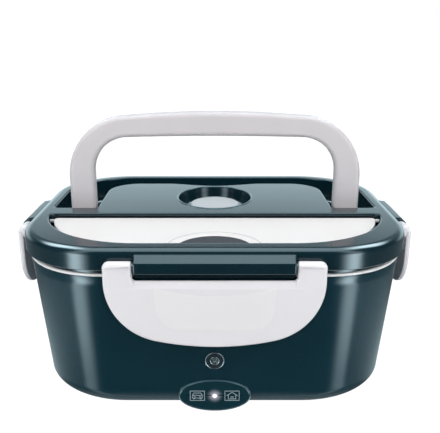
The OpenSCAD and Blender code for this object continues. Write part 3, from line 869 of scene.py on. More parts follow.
@dataclass
class Liner:
    """White inner liner: rim, shelf and heated pot, with the steel container and the tray."""

    plan: Plan
    taper: float = 0.06  # slope of the pot's and the container's walls
    taper_z: float = 88.0  # level from which the taper counts
    bend: float = 37.0  # level at which the bottoms' rounds start
    floor: float = 27.0
    heater_w: float = 136.0  # opening for the heating plate
    heater_d: float = 60.0
    heater_r: float = 16.0
    tray_x: float = 52.0
    tray_w: float = 72.0
    tray_d: float = 112.0
    tray_r: float = 15.0

    def wall(self, inset: float, z: float) -> float:
        """Inset of a tapered wall at height z."""
        return inset + self.taper * (self.taper_z - z)

    def build(self) -> None:
        """Makes the liner, the container and the tray."""
        ring, deep, r0 = self.plan.ring, self.plan.deep, self.plan.rim_r + self.plan.rim_in
        lip = ((2.5, 93.3), (2.2, 93.36), (2.1, 93.6), (2.1, 94.4), (2.25, 94.7), (2.6, 94.8))
        collar = ((3.6, 94.8), (3.6, 97.0), (3.7, 97.3), (4.0, 97.5), (5.9, 97.5), (6.25, 97.4),
                  (6.4, 97.1), (6.4, 87.7), (6.6, 87.2), (7.2, 87))
        rings = [(ring(5.2, 49), 85.2), (ring(5.2, 49), 93.3)]
        rings += [(ring(d, r0 - d), z) for d, z in lip] + [(deep(d), z) for d, z in collar]
        top, rows = 86, 8
        for i in range(1, rows + 1):
            z = top - (top - self.bend) * i / rows
            rings.append((ring(self.wall(11.4, z), 39.6 - 3 * i / rows), z))
        rings += self.plan.bowl(14.5, 10, 36.6, self.bend, self.bend - self.floor)
        rings.append((ring(25, 36.2), self.floor))
        shell = Shell()
        _, last = shell.skin(rings)
        opening = rounded_rect(self.heater_w, self.heater_d, self.heater_r)
        shell.fill(last, shell.ring(opening, self.floor))
        dress("liner_moulding", shell, Finishes.LINER, Body.BASE, Slot.LINER, "inner_liner")
        # dark teal ring over the collar's step: painted shade for the shadow in the gap under the
        # lid
        step = Shell()
        step.hoop((deep(d), z) for d, z in ((3.6, 94.7), (2.9, 94.85), (2.9, 97.0), (3.2, 97.4),
                                            (3.9, 97.5), (3.9, 94.7)))
        dress("rim_step_painted_shade", step, Finishes.LID, Body.BASE, Slot.LINER)
        self.container()
        self.tray()

    def container(self) -> None:
        """Deep-drawn steel container with a rolled flange."""
        ring, bowl = self.plan.ring, self.plan.bowl
        flange = ((8.0, 87.15), (7.4, 87.3), (7.2, 87.65), (7.4, 88.0), (8.0, 88.2))
        mouth = ((12.2, 88.2), (12.9, 88.05), (13.25, 87.5))
        rings = bowl(15.3, 9, 35.4, self.bend, 9)[::-1] + [(ring(15.3, 35.4), self.bend)]
        rings += [(ring(self.wall(12.2, z), 37), z) for z in (50, 65, 80, 86.6)]
        rings += [(ring(12.0, 37.6), 87.1)] + [(self.plan.deep(d), z) for d, z in flange]
        rings += [(ring(d, 37), z) for d, z in mouth]
        rings += [(ring(self.wall(13.2, z), 36), z) for z in (80, 65, 50, 38)]
        rings += bowl(16.2, 8.4, 34.6, self.bend + 0.4, 8.4)
        shell = Shell()
        shell.solid(rings)
        dress("container_drawn", shell, Finishes.STEEL, Body.BASE, Slot.STEEL, "steel_container")

    def tray(self) -> None:
        """Clear tray with a turned-out lip."""
        body = Contour.of(rounded_rect(self.tray_w, self.tray_d, self.tray_r))
        outside = [(-2.5, 30), (-2, 30), (-0.9, 30.3), (-0.2, 31), (0, 32), (0, 40), (0, 60),
                   (0, 68.2)]
        lip = [(0.3, 68.6), (2.2, 68.6), (2.45, 68.8), (2.5, 69.2), (2.45, 69.8), (2.2, 70),
               (0, 70)]
        inside = [(-0.9, 69.9), (-1.2, 69.4), (-1.2, 60), (-1.2, 40), (-1.2, 33.4), (-1.5, 32.2),
                  (-2.3, 31.5), (-3.2, 31.4), (-3.6, 31.4)]
        shell = Shell(place=Matrix.Translation((self.tray_x * MM, 0, 0)))
        shell.solid(body.rings(outside + lip + inside))
        dress("tray_clear", shell, Finishes.CLEAR, Body.BASE, Slot.CLEAR, "fruit_tray")


@dataclass(frozen=True)
class Bar:
    """A bar on the lid's skirt and the pockets at its ends, in millimetres."""

    side: Side
    half: float  # half length
    reach: float  # how far it stands out of the lid's edge
    pocket: float  # outer end of the pockets, from the middle
    axis: float  # the clip's axis, out from the lid's edge
    pocket_r: float  # room about that axis
    height: float = 101.0  # of the axis above the ground

    @classmethod
    def on(cls, side: Side) -> "Bar":
        """Picks the long bar of the front and rear, or the short one of the two ends.

        Args:
            side: where the bar lies.

        Returns:
            The bar.
        """
        if side in (Side.FRONT, Side.REAR):
            return cls(side, half=43.5, reach=6.0, pocket=60.6, axis=2.2, pocket_r=3.6)
        return cls(side, half=20.0, reach=8.4, pocket=32.9, axis=4.2, pocket_r=4.4)


@dataclass
class Lid:
    """Lid moulding: skirt, deck, handle channel round the island, cutlery well and vent well."""

    plan: Plan
    top: float = 110.0
    floor: float = 93.0  # of the cutlery well and the handle channel
    skirt: float = 97.5
    crown_in: float = 4.6  # rounded upper edge, across
    crown_down: float = 3.4  # and down
    island_half: float = 77.0
    island_back: float = 58.6
    channel_front: float = -7.0
    channel_in: float = 8.9
    channel_r: float = 54.0
    window_back: float = -20.5  # straight rear edge of the cutlery window
    window_half: float = 104.29
    window_r: float = 61.0
    vent_y: float = 18.0
    vent_r: float = 24.95
    vent_longer: float = 0.14  # how much longer than wide the vent's mouth is
    vent_back: float = 1.5  # how far its middle moves back for that
    dip: float = 6.6  # depth of the dip in the island's rear edge
    dip_half: float = 33.0

    def window(self) -> Contour:
        """D-shaped outline of the cutlery window.

        Returns:
            The window's contour.
        """
        cx, cy, r = self.plan.window_x, self.plan.window_y, self.window_r
        back, x, soft = self.window_back, self.window_half, 3.2
        arcs = arc(-cx, cy, r, 186, 270) + arc(cx, cy, r, 270, 354)
        sides = [(u, v, 0.0) for u, v in arcs]
        return Contour.of(softened([(-x, back, soft), *sides, (x, back, soft)]))

    def channel(self) -> Contour:
        """U-shaped outline of the handle channel round the island.

        Returns:
            The channel's contour.
        """
        b, f, half = self.island_back, self.channel_front, self.island_half
        x, y = self.plan.w / 2 - self.channel_in, self.plan.d / 2 - self.channel_in
        r = self.channel_r - self.channel_in
        dip = [(u, b - self.dip * ((1 + math.cos(math.pi * u / self.dip_half)) / 2) ** 0.7, 0.0)
               for u in (self.dip_half * k / 14 for k in range(-14, 15))]
        return Contour.of(softened([(x, f, 3), (x, y, r), (-x, y, r), (-x, f, 3), (-half, f, 1.5),
                                    (-half, b, 22), *dip, (half, b, 22), (half, f, 1.5)], 3.0))

    def mouth(self, r: float, stretch: float = 1.0) -> list[Point]:
        """Outlines the vent.

        Args:
            r: half its width, mm.
            stretch: 1 where it is longer than wide, 0 where it is round.

        Returns:
            The outline's points.
        """
        longer, y0 = 1 + self.vent_longer * stretch, self.vent_back * stretch
        return [(x, longer * y + self.vent_y + y0) for x, y in arc(0, 0, r, 0, 356, 4)]

    def well(self, shell: Shell, contour: Contour, r: float, steps: Sequence[Step]) -> list[int]:
        """Adds a well below the deck.

        Args:
            shell: the lid's shell.
            contour: the well's outline.
            r: radius of the well's upper edge.
            steps: further steps down from the wall, ending on the floor.

        Returns:
            The ring that lies in the deck.
        """
        first, last = shell.skin(contour.rings([*edge_round(r, self.top, True)[::-1], *steps]))
        shell.fill(last)
        return first

    def build(self) -> None:
        """Makes the moulding, its bars and the vent's rim."""
        plan, z = self.plan, self.floor
        sleeve = [(9.0, 91), (7.7, 91), (7.4, 91.3), (7.4, 101.5), (3.2, 101.5), (3.2, 98.0),
                  (3.1, 97.7), (2.8, 97.6)]
        skirt = [(-1.3, self.skirt), (-0.5, 97.6), (0, 98.05), (0, 98.8), (0, 102), (0, 105)]
        turns = [math.pi / 20 * i for i in range(11)]
        crown = [(self.crown_in * (math.cos(a) - 1),
                  self.top - self.crown_down + self.crown_down * math.sin(a)) for a in turns]
        crown.append((-4.9, self.top))
        shell = Shell()
        first, last = shell.skin([(plan.deep(d), z) for d, z in sleeve]
                                 + [(plan.ring(-d), z) for d, z in skirt + crown])
        shell.fill(first)
        groove = [(0, 108.5), (1.2, 108.3), (1.2, 104.2), (-0.2, 103.8)]
        ledge = [(-4.1, 103.8), (-4.4, 103.5), (-4.4, z + 3)]
        foot = [(-4.7, z + 0.9), (-5.3, z + 0.3), (-6.4, z), (-6.8, z)]
        window = self.well(shell, self.window(), 1.0, groove + ledge + foot)
        channel = self.well(shell, self.channel(), 1.2, [(0, 105), (0, z + 3), (-0.3, z + 0.9),
                                                         (-0.9, z + 0.3), (-2, z), (-2.4, z)])
        wall = [*edge_round(0.5, self.top, True)[::-1], (-0.3, 108.6), (-0.7, 106.2), (-1.2, 103.4),
                (-1.8, 101.9), (-2.6, 101.2), (-3.6, 101), (-4.2, 101)]
        bore = [(self.mouth(r, 0), h) for r, h in ((4.85, 101), (4.65, 100.8), (4.45, 99))]
        vent, sump = shell.skin([(self.mouth(self.vent_r + d), h) for d, h in wall] + bore)
        shell.fill(sump)
        shell.fill(last, window, channel, vent)
        lid = dress("lid_moulding", shell, Finishes.LID, Body.LID, Slot.TEAL, "lid_shell")
        cut(lid, [self.pockets(Bar.on(side)) for side in Side])
        for side in Side:
            self.bar(Bar.on(side))
        self.vent_rim()

    def pockets(self, bar: Bar) -> bpy.types.Mesh:
        """Cutter for the room that a clip's two ears turn in.

        Args:
            bar: the bar between the ears.

        Returns:
            The cutter's mesh.
        """
        shell, inner = Shell(Facing.END, self.plan.edge(bar.side)), 0.9
        turn = arc(-bar.axis, bar.height, bar.pocket_r, 0, 180, 10)
        room = Contour.of([*turn, (-bar.axis - bar.pocket_r, self.skirt), (inner, self.skirt),
                           (inner, bar.height)])
        for s in (-1, 1):
            shell.solid(room.rings([(0, s * bar.half), (0, s * bar.pocket)]))
        return shell.mesh("pocket")

    def bar(self, bar: Bar) -> None:
        """One bar on the skirt, for a clip or the hinge; the front one has an inner lip.

        Args:
            bar: its sizes.
        """
        low, r, reach, half = 97.35, 1.0, bar.reach, bar.half
        under = [(-0.4, low, 0.3)]
        if bar.side is Side.FRONT:
            under = [(-0.3, 94.0, 0.2), (-1.3, 94.0, 0.2), (-1.3, low, 0.3)]
        profile = Contour.of(softened([(2, 98.7, 0), (under[0][0], 98.7, 0), *under,
                                       (-reach, low, 1.3), (-reach, 103.6, 1.6),
                                       (4.2 - reach, 107.3, 1.0), (2, 107.3, 0)]))
        ends = rounding(r, (0, 0.4, 0.8, 1.2, 1.57))
        steps = [(-r - 0.2, -half)] + [(d, -half + w) for d, w in ends] + [(0, -half + 1.3)]
        steps += [(0, half - 1.3)] + [(d, half - w) for d, w in ends[::-1]] + [(-r - 0.2, half)]
        shell = Shell(Facing.END, self.plan.edge(bar.side))
        shell.solid(profile.rings(steps))
        dress(f"lid_bar_{bar.side.name.lower()}", shell, Finishes.LID, Body.LID, Slot.TEAL)

    def vent_rim(self) -> None:
        """Thin raised ring round the vent's mouth, coloured a lighter teal as painted highlight."""
        shell = Shell()
        shell.hoop(Contour.of(self.mouth(25.6)).rings(
            [(0.6, 109.8), (0.6, 110.1), (0.4, 110.33), (0, 110.4), (-0.4, 110.33), (-0.6, 110.1),
             (-0.6, 109.6)]))
        dress("vent_rim", shell, Finishes.BEZEL, Body.LID, Slot.TEAL)


@dataclass
class VentPlug:
    """Pale silicone plug in the vent well: stem, flange and a gently domed top."""

    y: float
    r: float = 16.9

    def build(self) -> None:
        """Makes the plug."""
        stem = [(-15.5, 92), (-13.7, 92), (-13.4, 92.6), (-13, 94), (-13, 101.4)]
        flange = [(-1.2, 101.4), (-0.4, 101.7), (0, 102.4), (0, 104.8), (-0.25, 105.6),
                  (-0.9, 106.2)]
        dome = [(-1.8, 106.5), (-4, 106.75), (-8, 106.98), (-12, 107.1), (-16, 107.15)]
        shell = Shell()
        shell.solid(circle(self.r, 6, 0, self.y).rings(stem + flange + dome))
        dress("vent_plug_dome", shell, Finishes.PLUG, Body.VENT, Slot.PALE_SILICONE, "vent_plug")


@dataclass
class CutleryCover:
    """White cover of the cutlery compartment with its finger notch."""

    plan: Plan
    notch_y: float = -77.5
    notch_r: float = 21.5
    front_y: float = -73.6
    top: float = 107.4
    side_r: float = 58.2
    corner: Point = (101.37, -21.6)  # its rear corners
    bead_r: float = 27.0  # line round the notch
    bead: float = 0.4
    hinge_y: float = -22.8
    hinge_z: float = 105.7
    hinge_r: float = 1.1

    def build(self) -> None:
        """Makes the cover, the bead round the notch and the hinge's trunnions."""
        cx, cy, r = self.plan.window_x, self.plan.window_y, self.side_r
        start = math.degrees(math.asin((self.front_y - self.notch_y) / self.notch_r))
        notch = [(x, y, 0.0) for x, y in arc(0, self.notch_y, self.notch_r, 180 - start, start)]
        left = [(x, y, 0.0) for x, y in arc(-cx, cy, r, 187, 270)]
        right = [(x, y, 0.0) for x, y in arc(cx, cy, r, 270, 353)]
        notch[0], notch[-1] = (*notch[0][:2], 0.8), (*notch[-1][:2], 0.8)
        x, y = self.corner
        left[0], right[-1] = (-x, y, 2.0), (x, y, 2.0)
        edge = Contour.of(softened([*left, *notch, *right]))
        plate = Shell()
        plate.solid(edge.rings([(-0.6, 104.4), (-0.3, 104.4), (0, 104.7),
                                *edge_round(0.7, self.top)]))
        dress("cutlery_cover_plate", plate, Finishes.COVER, Body.COVER, Slot.WHITE, "cutlery_cover")
        # the bead's darker colour is painted shade
        path = [Vector((x, y, self.top - 0.1))
                for x, y in arc(0, self.notch_y, self.bead_r, 12, 168)]
        dress("cover_notch_rim", tube(path, self.bead), Finishes.RIM, Body.COVER, Slot.WHITE)
        pins = Shell(Facing.END)
        for s in (-1, 1):
            pins.solid(circle(self.hinge_r, 15, self.hinge_y, self.hinge_z).rings(
                [(0, s * 99.7), (0, s * 105.5), (-0.3, s * 105.8)]))
        dress("cover_trunnions", pins, Finishes.COVER, Body.COVER, Slot.WHITE)


@dataclass
class Handle:
    """Carry handle: one band bent into an arch."""

    half: float = 95.5
    top: float = 171.3
    band: float = 16.4
    grip: float = 15.5
    rise: float = 2.4  # of the arched grip over its ends
    rise_half: float = 54.5
    inner_rise: float = 0.8  # the same under the grip
    inner_half: float = 56.0
    bend_r: float = 40.0
    bend_to: float = 87.4  # degrees at which the bend meets the arched grip
    inner_r: float = 23.0
    inner_to: float = 89.0
    thick: float = 10.5
    edge_r: float = 2.8
    y: float = 4.0
    pivot: float = 99.0
    foot: float = 4.2  # how far the ends reach below the pivot
    leg: float = 120.0  # level at which the straight legs are split

    def outline(self) -> Contour:
        """Front outline of the whole handle.

        Returns:
            The band's contour, with its two ends rounded.
        """
        hi, zi, foot = self.half - self.band, self.top - self.grip, self.pivot - self.foot
        r, ri, pitch = self.bend_r, self.inner_r, 12.0
        spots = [pitch * i for i in range(-4, 5)]
        crown = [(x, self.top - (x / self.rise_half) ** 2 * self.rise) for x in spots[::-1]]
        under = [(x, zi - (x / self.inner_half) ** 2 * self.inner_rise) for x in spots]
        right = arc(self.half - r, self.top - r - self.rise, r, 0, self.bend_to, 3)
        left = [(-x, z) for x, z in right[::-1]]
        bend = arc(hi - ri, zi - ri - self.inner_rise, ri, self.inner_to, 0, 3)
        inner = [(-x, z) for x, z in bend[::-1]] + under + bend
        foot_l = softened([(-self.half, self.leg, 0), (-self.half, foot, 2.5), (-hi, foot, 2.5),
                           (-hi, self.leg, 0)])
        foot_r = [(-x, z) for x, z in foot_l[::-1]]
        return Contour.of([*right, *crown, *left, (-self.half, self.leg + 4), *foot_l, *inner,
                           *foot_r])

    def build(self) -> None:
        """Makes the handle with rounded faces."""
        r, turn = self.edge_r, rounding(self.edge_r)
        near, far = -self.y + self.thick / 2, -self.y - self.thick / 2
        steps = [(-r - 0.4, far)] + [(d, far + w) for d, w in turn] + [(0, far + r + 0.2)]
        steps += [(0, near - r - 0.2)] + [(d, near - w) for d, w in turn[::-1]] + [(-r - 0.4, near)]
        shell = Shell(Facing.FRONT)
        shell.solid(self.outline().rings(steps))
        dress("handle_arch", shell, Finishes.HANDLE, Body.HANDLE, Slot.HANDLE, "carry_handle")


@dataclass
class Clip:
    """A clip: a plate with two ears on its bar, knuckles, a snap rib and a faint field.

    Its lower outline is one broad arc that runs into a tighter one on either side.
    """

    plan: Plan
    body: Body
    node: str
    bar: Bar
    belly_half: float  # where the broad arc ends, from the middle
    belly_r: float
    shoulder_r: float
    low: float  # lowest point above the ground
    face: float  # how far the face stands out of the lid's edge
    ear_top: float = 102.4
    plate_top: float = 93.2
    thick: float = 3.0
    edge_r: float = 1.5
    long_half: float = 43.5  # half bar length for which the field is drawn

    def edge(self) -> list[Point]:
        """Right half of the lower outline.

        Returns:
            Points from the lowest one to the side.
        """
        lean = self.belly_half / self.belly_r
        a = math.degrees(math.asin(lean))
        cx = self.belly_half - lean * self.shoulder_r
        cz = self.low + self.belly_r - (self.belly_r - self.shoulder_r) * math.cos(math.radians(a))
        belly = arc(0, self.low + self.belly_r, self.belly_r, 270, 270 + a, 1.5)
        return belly + arc(cx, cz, self.shoulder_r, 270 + a, 360, 3)[1:]

    def outline(self) -> Contour:
        """Front outline with both ears.

        Returns:
            The plate's contour.
        """
        low = self.edge()
        side, inner = low[-1][0], self.bar.half + 0.7
        right = [(x, z, 0.0) for x, z in low]
        right += [(side, self.ear_top, 1.4), (inner, self.ear_top, 0.4),
                  (inner, self.plate_top, 2.0)]
        return Contour.of(softened(right + [(-x, z, r) for x, z, r in right[:0:-1]]))

    def dress(self, part: str, shell: Shell, finish: Finish, *stands_for: str) -> bpy.types.Object:
        """Dresses one part of the clip and returns its object."""
        return dress(f"{self.body.value}_{part}", shell, finish, self.body, Slot.WHITE, *stands_for)

    def build(self) -> None:
        """Makes the plate with its bevelled lip, and what it carries."""
        place, r = self.plan.edge(self.bar.side), self.edge_r
        front, back = self.face + 0.1, self.face - self.thick
        steps = [(-0.8, back), (-0.5, back), (-0.15, back + 0.15), (0, back + 0.5),
                 (0, front - r - 0.2)]
        steps += [(d, front - w) for d, w in rounding(r)[::-1]] + [(-r - 0.3, front)]
        shell = Shell(Facing.FRONT, place)
        shell.solid(self.outline().rings(steps))
        plate = self.dress("plate", shell, Finishes.CLIP, self.node)
        lip = Contour.of([(-front - 2, 89.8), (-front, 89.8), (-front + 1.8, 93.4),
                          (-front + 1.8, 96), (-front - 2, 96)])
        wedge, reach = Shell(Facing.END, place), self.bar.half + 0.4
        wedge.solid(lip.rings([(0, -reach), (0, reach)]))
        cut(plate, [wedge.mesh("lip_wedge")])
        self.knuckles(place)
        self.inset_field(place, front)
        self.snap_rib(place, back)

    def knuckles(self, place: Matrix) -> None:
        """Round knuckles behind the ears, domed at their outer ends.

        Args:
            place: the clip's placement.
        """
        ring = circle(self.face + 0.1 - self.bar.axis, 6, -self.bar.axis, self.bar.height)
        a0, a1 = self.bar.half + 0.8, self.edge()[-1][0] - 0.1
        shell = Shell(Facing.END, place)
        for s in (-1, 1):
            shell.solid(ring.rings(
                [(-1.0, s * a0), (-0.3, s * (a0 + 0.3)), (0, s * (a0 + 1)), (0, s * (a1 - 3.4)),
                 (-0.25, s * (a1 - 2.2)), (-0.8, s * (a1 - 1.1)), (-1.6, s * (a1 - 0.35)),
                 (-2.6, s * a1)]))
        self.dress("knuckles", shell, Finishes.CLIP)

    def inset_field(self, place: Matrix, front: float) -> None:
        """Faint raised field with a bowed upper edge.

        Args:
            place: the clip's placement.
            front: level of the clip's face.
        """
        k, half, top, lip = self.bar.half / self.long_half, 33, 90.0, 93.4
        bow = [(x * k, top - 5.0 * (1 - (x / half) ** 2), 0.0) for x in range(-30, 31, 4)]
        low = lip - (lip - self.low) * 0.737
        corners = [(half * k, top, 1.0), *bow[::-1], (-half * k, top, 1.0),
                   (-31.5 * k, low, 13 * k), (31.5 * k, low, 13 * k)]
        shell = Shell(Facing.FRONT, place)
        shell.solid(Contour.of(softened(corners)).rings(
            [(0, front - 0.3), (0, front), (-0.4, front + 0.06), (-0.9, front + 0.1),
             (-1.2, front + 0.1)]))
        self.dress("field", shell, Finishes.FIELD)

    def snap_rib(self, place: Matrix, back: float) -> None:
        """Rib behind the plate that snaps under the housing's bead.

        Args:
            place: the clip's placement.
            back: level of the clip's rear face.
        """
        x, low, high, r = self.bar.half * 0.7, 76, 79, 0.8
        rib = Contour.of(softened([(-x, low, r), (x, low, r), (x, high, r), (-x, high, r)]))
        shell = Shell(Facing.FRONT, place)
        shell.solid(rib.rings([(0, back + 0.2), (0, 0.5), (-0.2, 0.0), (-0.7, -0.2)]))
        self.dress("snap_rib", shell, Finishes.CLIP)


@dataclass
class Panel:
    """Oval indicator panel low on the front."""

    tilt: float = 1.5  # degrees
    y: float = -79.1
    z: float = 15.6
    a: float = 20.7  # half axes of the face
    b: float = 9.8
    depth: float = 11.6
    lens_r: float = 2.1
    icon_x: float = 10.2
    icon_half: Point = (4.2, 3.2)
    line: float = 0.4  # width of the printed lines
    place: Matrix = field(init=False)

    def __post_init__(self) -> None:
        """Works out the panel's own plane."""
        turn = Matrix.Rotation(math.radians(90 + self.tilt), 4, "X")
        self.place = Matrix.Translation((0, self.y * MM, self.z * MM)) @ turn

    def oval(self, more: float = 0.0) -> Contour:
        """Ellipse of the face.

        Args:
            more: what is added to both half axes, mm.

        Returns:
            The ellipse's contour.
        """
        a, b = self.a + more, self.b + more
        turns = [math.radians(4 * k) for k in range(90)]
        return Contour.of((a * math.cos(t), b * math.sin(t)) for t in turns)

    def build(self) -> None:
        """Makes the face, the trim ring, the lit lens and the two pictograms."""
        face, trim, lens = (Shell(place=self.place) for _ in range(3))
        # the face's material carries the LED's halo as painted glow
        face.solid(self.oval().rings([(0, -self.depth), (0, -0.6), (-0.15, -0.2), (-0.6, -0.02),
                                      (-1.2, 0.02), (-3, 0.06), (-6, 0.09), (-9, 0.1)]))
        dress("panel_face", face, Finishes.PANEL, Body.BASE, Slot.PANEL, "control_panel")
        # the trim's lighter teal is painted highlight
        trim.skin(self.oval(0.6).rings([(0, -12.0), (0, -0.2), (-0.08, 0.15), (-0.3, 0.35),
                                        (-0.5, 0.25), (-0.6, 0), (-0.6, -1)]))
        dress("panel_trim", trim, Finishes.BEZEL, Body.BASE, Slot.BEZEL, "panel_bezel")
        lens.solid(circle(self.lens_r, 10).rings([(0, -self.depth), (0, 0.15), (-0.3, 0.25),
                                                  (-1, 0.29), (-1.6, 0.3)]))
        dress("led_lens_dome", lens, Finishes.LENS, Body.BASE, Slot.LENS, "led_lens")
        x, y = self.icon_half
        frame = [(-x, -y), (x, -y), (x, y), (-x, y), (-x, -y)]
        for s, name, lines in ((-1, "car", self.car()), (1, "house", self.house())):
            icon = Shell(place=self.place)
            for path in [frame, *lines]:
                self.ribbon(icon, [(u + s * self.icon_x, v) for u, v in path])
            dress(f"pictogram_{name}", icon, Finishes.PRINT, Body.BASE, Slot.PANEL)

    def ribbon(self, shell: Shell, path: Sequence[Point]) -> None:
        """Lays a flat printed line along a path.

        Args:
            shell: the pictogram's shell.
            path: the line's points in the panel's plane.
        """
        for (x0, y0), (x1, y1) in zip(path, path[1:]):
            d = Vector((x1 - x0, y1 - y0)).normalized()
            n, e = Vector((-d.y, d.x)) * self.line / 2, d * self.line / 2
            corners = [(x0 - e.x + n.x, y0 - e.y + n.y), (x0 - e.x - n.x, y0 - e.y - n.y),
                       (x1 + e.x - n.x, y1 + e.y - n.y), (x1 + e.x + n.x, y1 + e.y + n.y)]
            _, last = shell.skin([(corners, 0.0), (corners, 0.2)])
            shell.faces.append(tuple(last))

    def car(self) -> list[list[Point]]:
        """Front view of a car.

        Returns:
            Its lines.
        """
        body = [(-2.9, -1.6), (-2.9, 0.3), (-2.1, 1.9), (2.1, 1.9), (2.9, 0.3), (2.9, -1.6),
                (-2.9, -1.6)]
        bonnet = [(-2.9, 0.3), (2.9, 0.3)]
        wheels = [[(-2.2, -2.1), (-1.5, -2.1)], [(1.5, -2.1), (2.2, -2.1)]]
        lamps = [[(-1.9, -0.7), (-1.2, -0.7)], [(1.2, -0.7), (1.9, -0.7)]]
        return [body, bonnet, *wheels, *lamps]

    def house(self) -> list[list[Point]]:
        """A house with a door.

        Returns:
            Its lines.
        """
        roof = [(-3.0, 0.2), (0, 2.4), (3.0, 0.2)]
        walls = [(-2.2, 0.4), (-2.2, -2.2), (2.2, -2.2), (2.2, 0.4)]
        door = [(-0.6, -2.2), (-0.6, -0.6), (0.6, -0.6), (0.6, -2.2)]
        return [roof, walls, door]


@dataclass
class Carried:
    """Frame nodes that keep their own shape and only get their finish."""

    looks: tuple[tuple[Finish, tuple[str, ...]], ...] = (
        (Finishes.PLATE, ("heating_plate",)),
        (Finishes.HEATER, ("ptc_heater_left", "ptc_heater_right", "thermal_fuse")),
        (Finishes.PLATED, ("heater_clamp", "mains_inlet_pins", "car_inlet_pin", "cover_pin",
                           "housing_screws", "bracket_screws", "rear_hinge_pin", "lid_screws",
                           "handle_pins", "front_latch_pin", "left_latch_pin", "right_latch_pin")),
        (Finishes.BLACK, ("thermostat", "mains_inlet", "car_inlet", "inlet_frame")),
        (Finishes.BOARD, ("control_board",)),
        (Finishes.LENS, ("indicator_led",)),
        (Finishes.RUBBER, ("socket_cover",)),
        (Finishes.WIRE_RED, ("mains_lead",)),
        (Finishes.WIRE_BLACK, ("car_lead",)),
        (Finishes.WIRE_WHITE, ("panel_lead",)),
        (Finishes.LINER, ("inner_lid",)),
        (Finishes.PLUG, ("lid_seal",)),
        (Finishes.POLISHED, ("spoon", "fork")),
        # the notch pad's dark grey is painted shade
        (Finishes.INSERT, ("finger_insert",)),
        (Finishes.CLIP, ("rear_bracket",)),
    )
    bevelled: tuple[str, ...] = ("inlet_frame", "socket_cover", "thermostat", "heater_clamp",
                                 "control_board", "bracket_screws", "spoon", "fork",
                                 "finger_insert")
    bevel: float = 0.3
    bevel_from: float = 40.0  # degrees between faces

    def build(self, nodes: dict[str, bpy.types.Object]) -> None:
        """Gives each node its material, and small bevels where they show.

        Args:
            nodes: the frame's nodes by name.
        """
        for finish, names in self.looks:
            for name in names:
                for slot in nodes[name].material_slots:
                    slot.material = finish.material()
                LOG.info("node %s: %s", name, finish.name)
        for name in self.bevelled:
            mod = nodes[name].modifiers.new("edge", "BEVEL")
            mod.width, mod.segments, mod.limit_method = self.bevel * MM, 2, "ANGLE"
            mod.angle_limit = math.radians(self.bevel_from)


# ---------------------------------------------------------------- studio


class Sky:
    """Sums over a ray's direction, for what the glossy surfaces reflect."""

    def __init__(self, tree: bpy.types.NodeTree) -> None:
        """Splits the ray's direction.

        Args:
            tree: the world's node tree.
        """
        self.tree = tree
        way = add(tree, "ShaderNodeTexCoord").outputs["Generated"]
        self.x, self.y, self.z = add(tree, "ShaderNodeSeparateXYZ", {0: way}).outputs
        squares = [self.combine("MULTIPLY", v, v) for v in (self.x, self.y)]
        flat = self.combine("SQRT", self.combine("ADD", *squares))
        self.depth = self.combine("DIVIDE", self.y, flat)

    def ramp(self, value: bpy.types.NodeSocket, a: float, b: float, lo: float,
             hi: float) -> bpy.types.NodeSocket:
        """Smooth step.

        Args:
            value: what it depends on.
            a: where it starts.
            b: where it ends.
            lo: result up to a.
            hi: result from b.

        Returns:
            The result's socket.
        """
        return add(self.tree, "ShaderNodeMapRange", {"Value": value},
                   interpolation_type="SMOOTHSTEP", in_From_Min=a, in_From_Max=b,
                   in_To_Min=lo, in_To_Max=hi).outputs[0]

    def combine(self, kind: str, *terms: bpy.types.NodeSocket) -> bpy.types.NodeSocket:
        """Result of one operation on one or two sockets."""
        return add(self.tree, "ShaderNodeMath", dict(enumerate(terms)), operation=kind).outputs[0]

    def product(self, first: bpy.types.NodeSocket,
                *more: bpy.types.NodeSocket) -> bpy.types.NodeSocket:
        """Multiplies sockets in order.

        Args:
            first: the first factor.
            *more: the others.

        Returns:
            The product's socket.
        """
        for factor in more:
            first = self.combine("MULTIPLY", first, factor)
        return first

    def backdrop(self, wall: float, ceiling: float) -> bpy.types.NodeSocket:
        """Bright wall behind the object under a dimmer ceiling.

        Args:
            wall: strength of the wall.
            ceiling: strength of the ceiling.

        Returns:
            The reflection's strength.
        """
        return self.product(self.ramp(self.depth, 0.25, 0.75, 0, 1),
                            self.ramp(self.z, 0.2, 0.355, wall, ceiling),
                            self.ramp(self.z, -0.2, -0.02, 0, 1))

    def side_panels(self, strength: float) -> bpy.types.NodeSocket:
        """Upright panels either side of the front, narrower above, with a faint spill beside them.

        Args:
            strength: of the panels where the tub's wall reflects them.

        Returns:
            The reflection's strength.
        """
        outer = self.combine("ADD", self.depth, self.ramp(self.z, -0.58, -0.35, 0, 0.15))
        inner = self.combine("ADD", self.depth, self.ramp(self.z, -0.58, -0.35, 0.06, 0.15))
        band = self.product(self.ramp(inner, -0.8, -0.62, 0, 1),
                            self.ramp(outer, -0.59, -0.42, 1, 0))
        spill = self.product(self.ramp(outer, -0.62, -0.42, 0, 1),
                             self.ramp(self.z, -0.54, -0.4, 0.14, 0.02))
        return self.product(self.combine("ADD", band, spill),
                            self.ramp(self.z, -0.68, -0.55, 0.25 * strength, strength),
                            self.ramp(self.z, -0.52, -0.35, 1, 2.3),
                            self.ramp(self.z, -0.3, 0.0, 1, 0.3))

    def overhead(self) -> bpy.types.NodeSocket:
        """Bright light overhead, two above the rear corners, and a little off the floor.

        Returns:
            The reflection's strength.
        """
        corners = self.product(self.ramp(self.combine("ABSOLUTE", self.x), 0.22, 0.4, 0, 12),
                               self.ramp(self.z, 0.55, 0.75, 0, 1),
                               self.ramp(self.depth, 0.0, 0.5, 0, 1))
        middle = self.combine("ADD", self.ramp(self.z, 0.78, 0.92, 0.02, 3.2),
                              self.ramp(self.z, -0.95, -0.7, 0.35, 0))
        return self.combine("MAXIMUM", middle, corners)


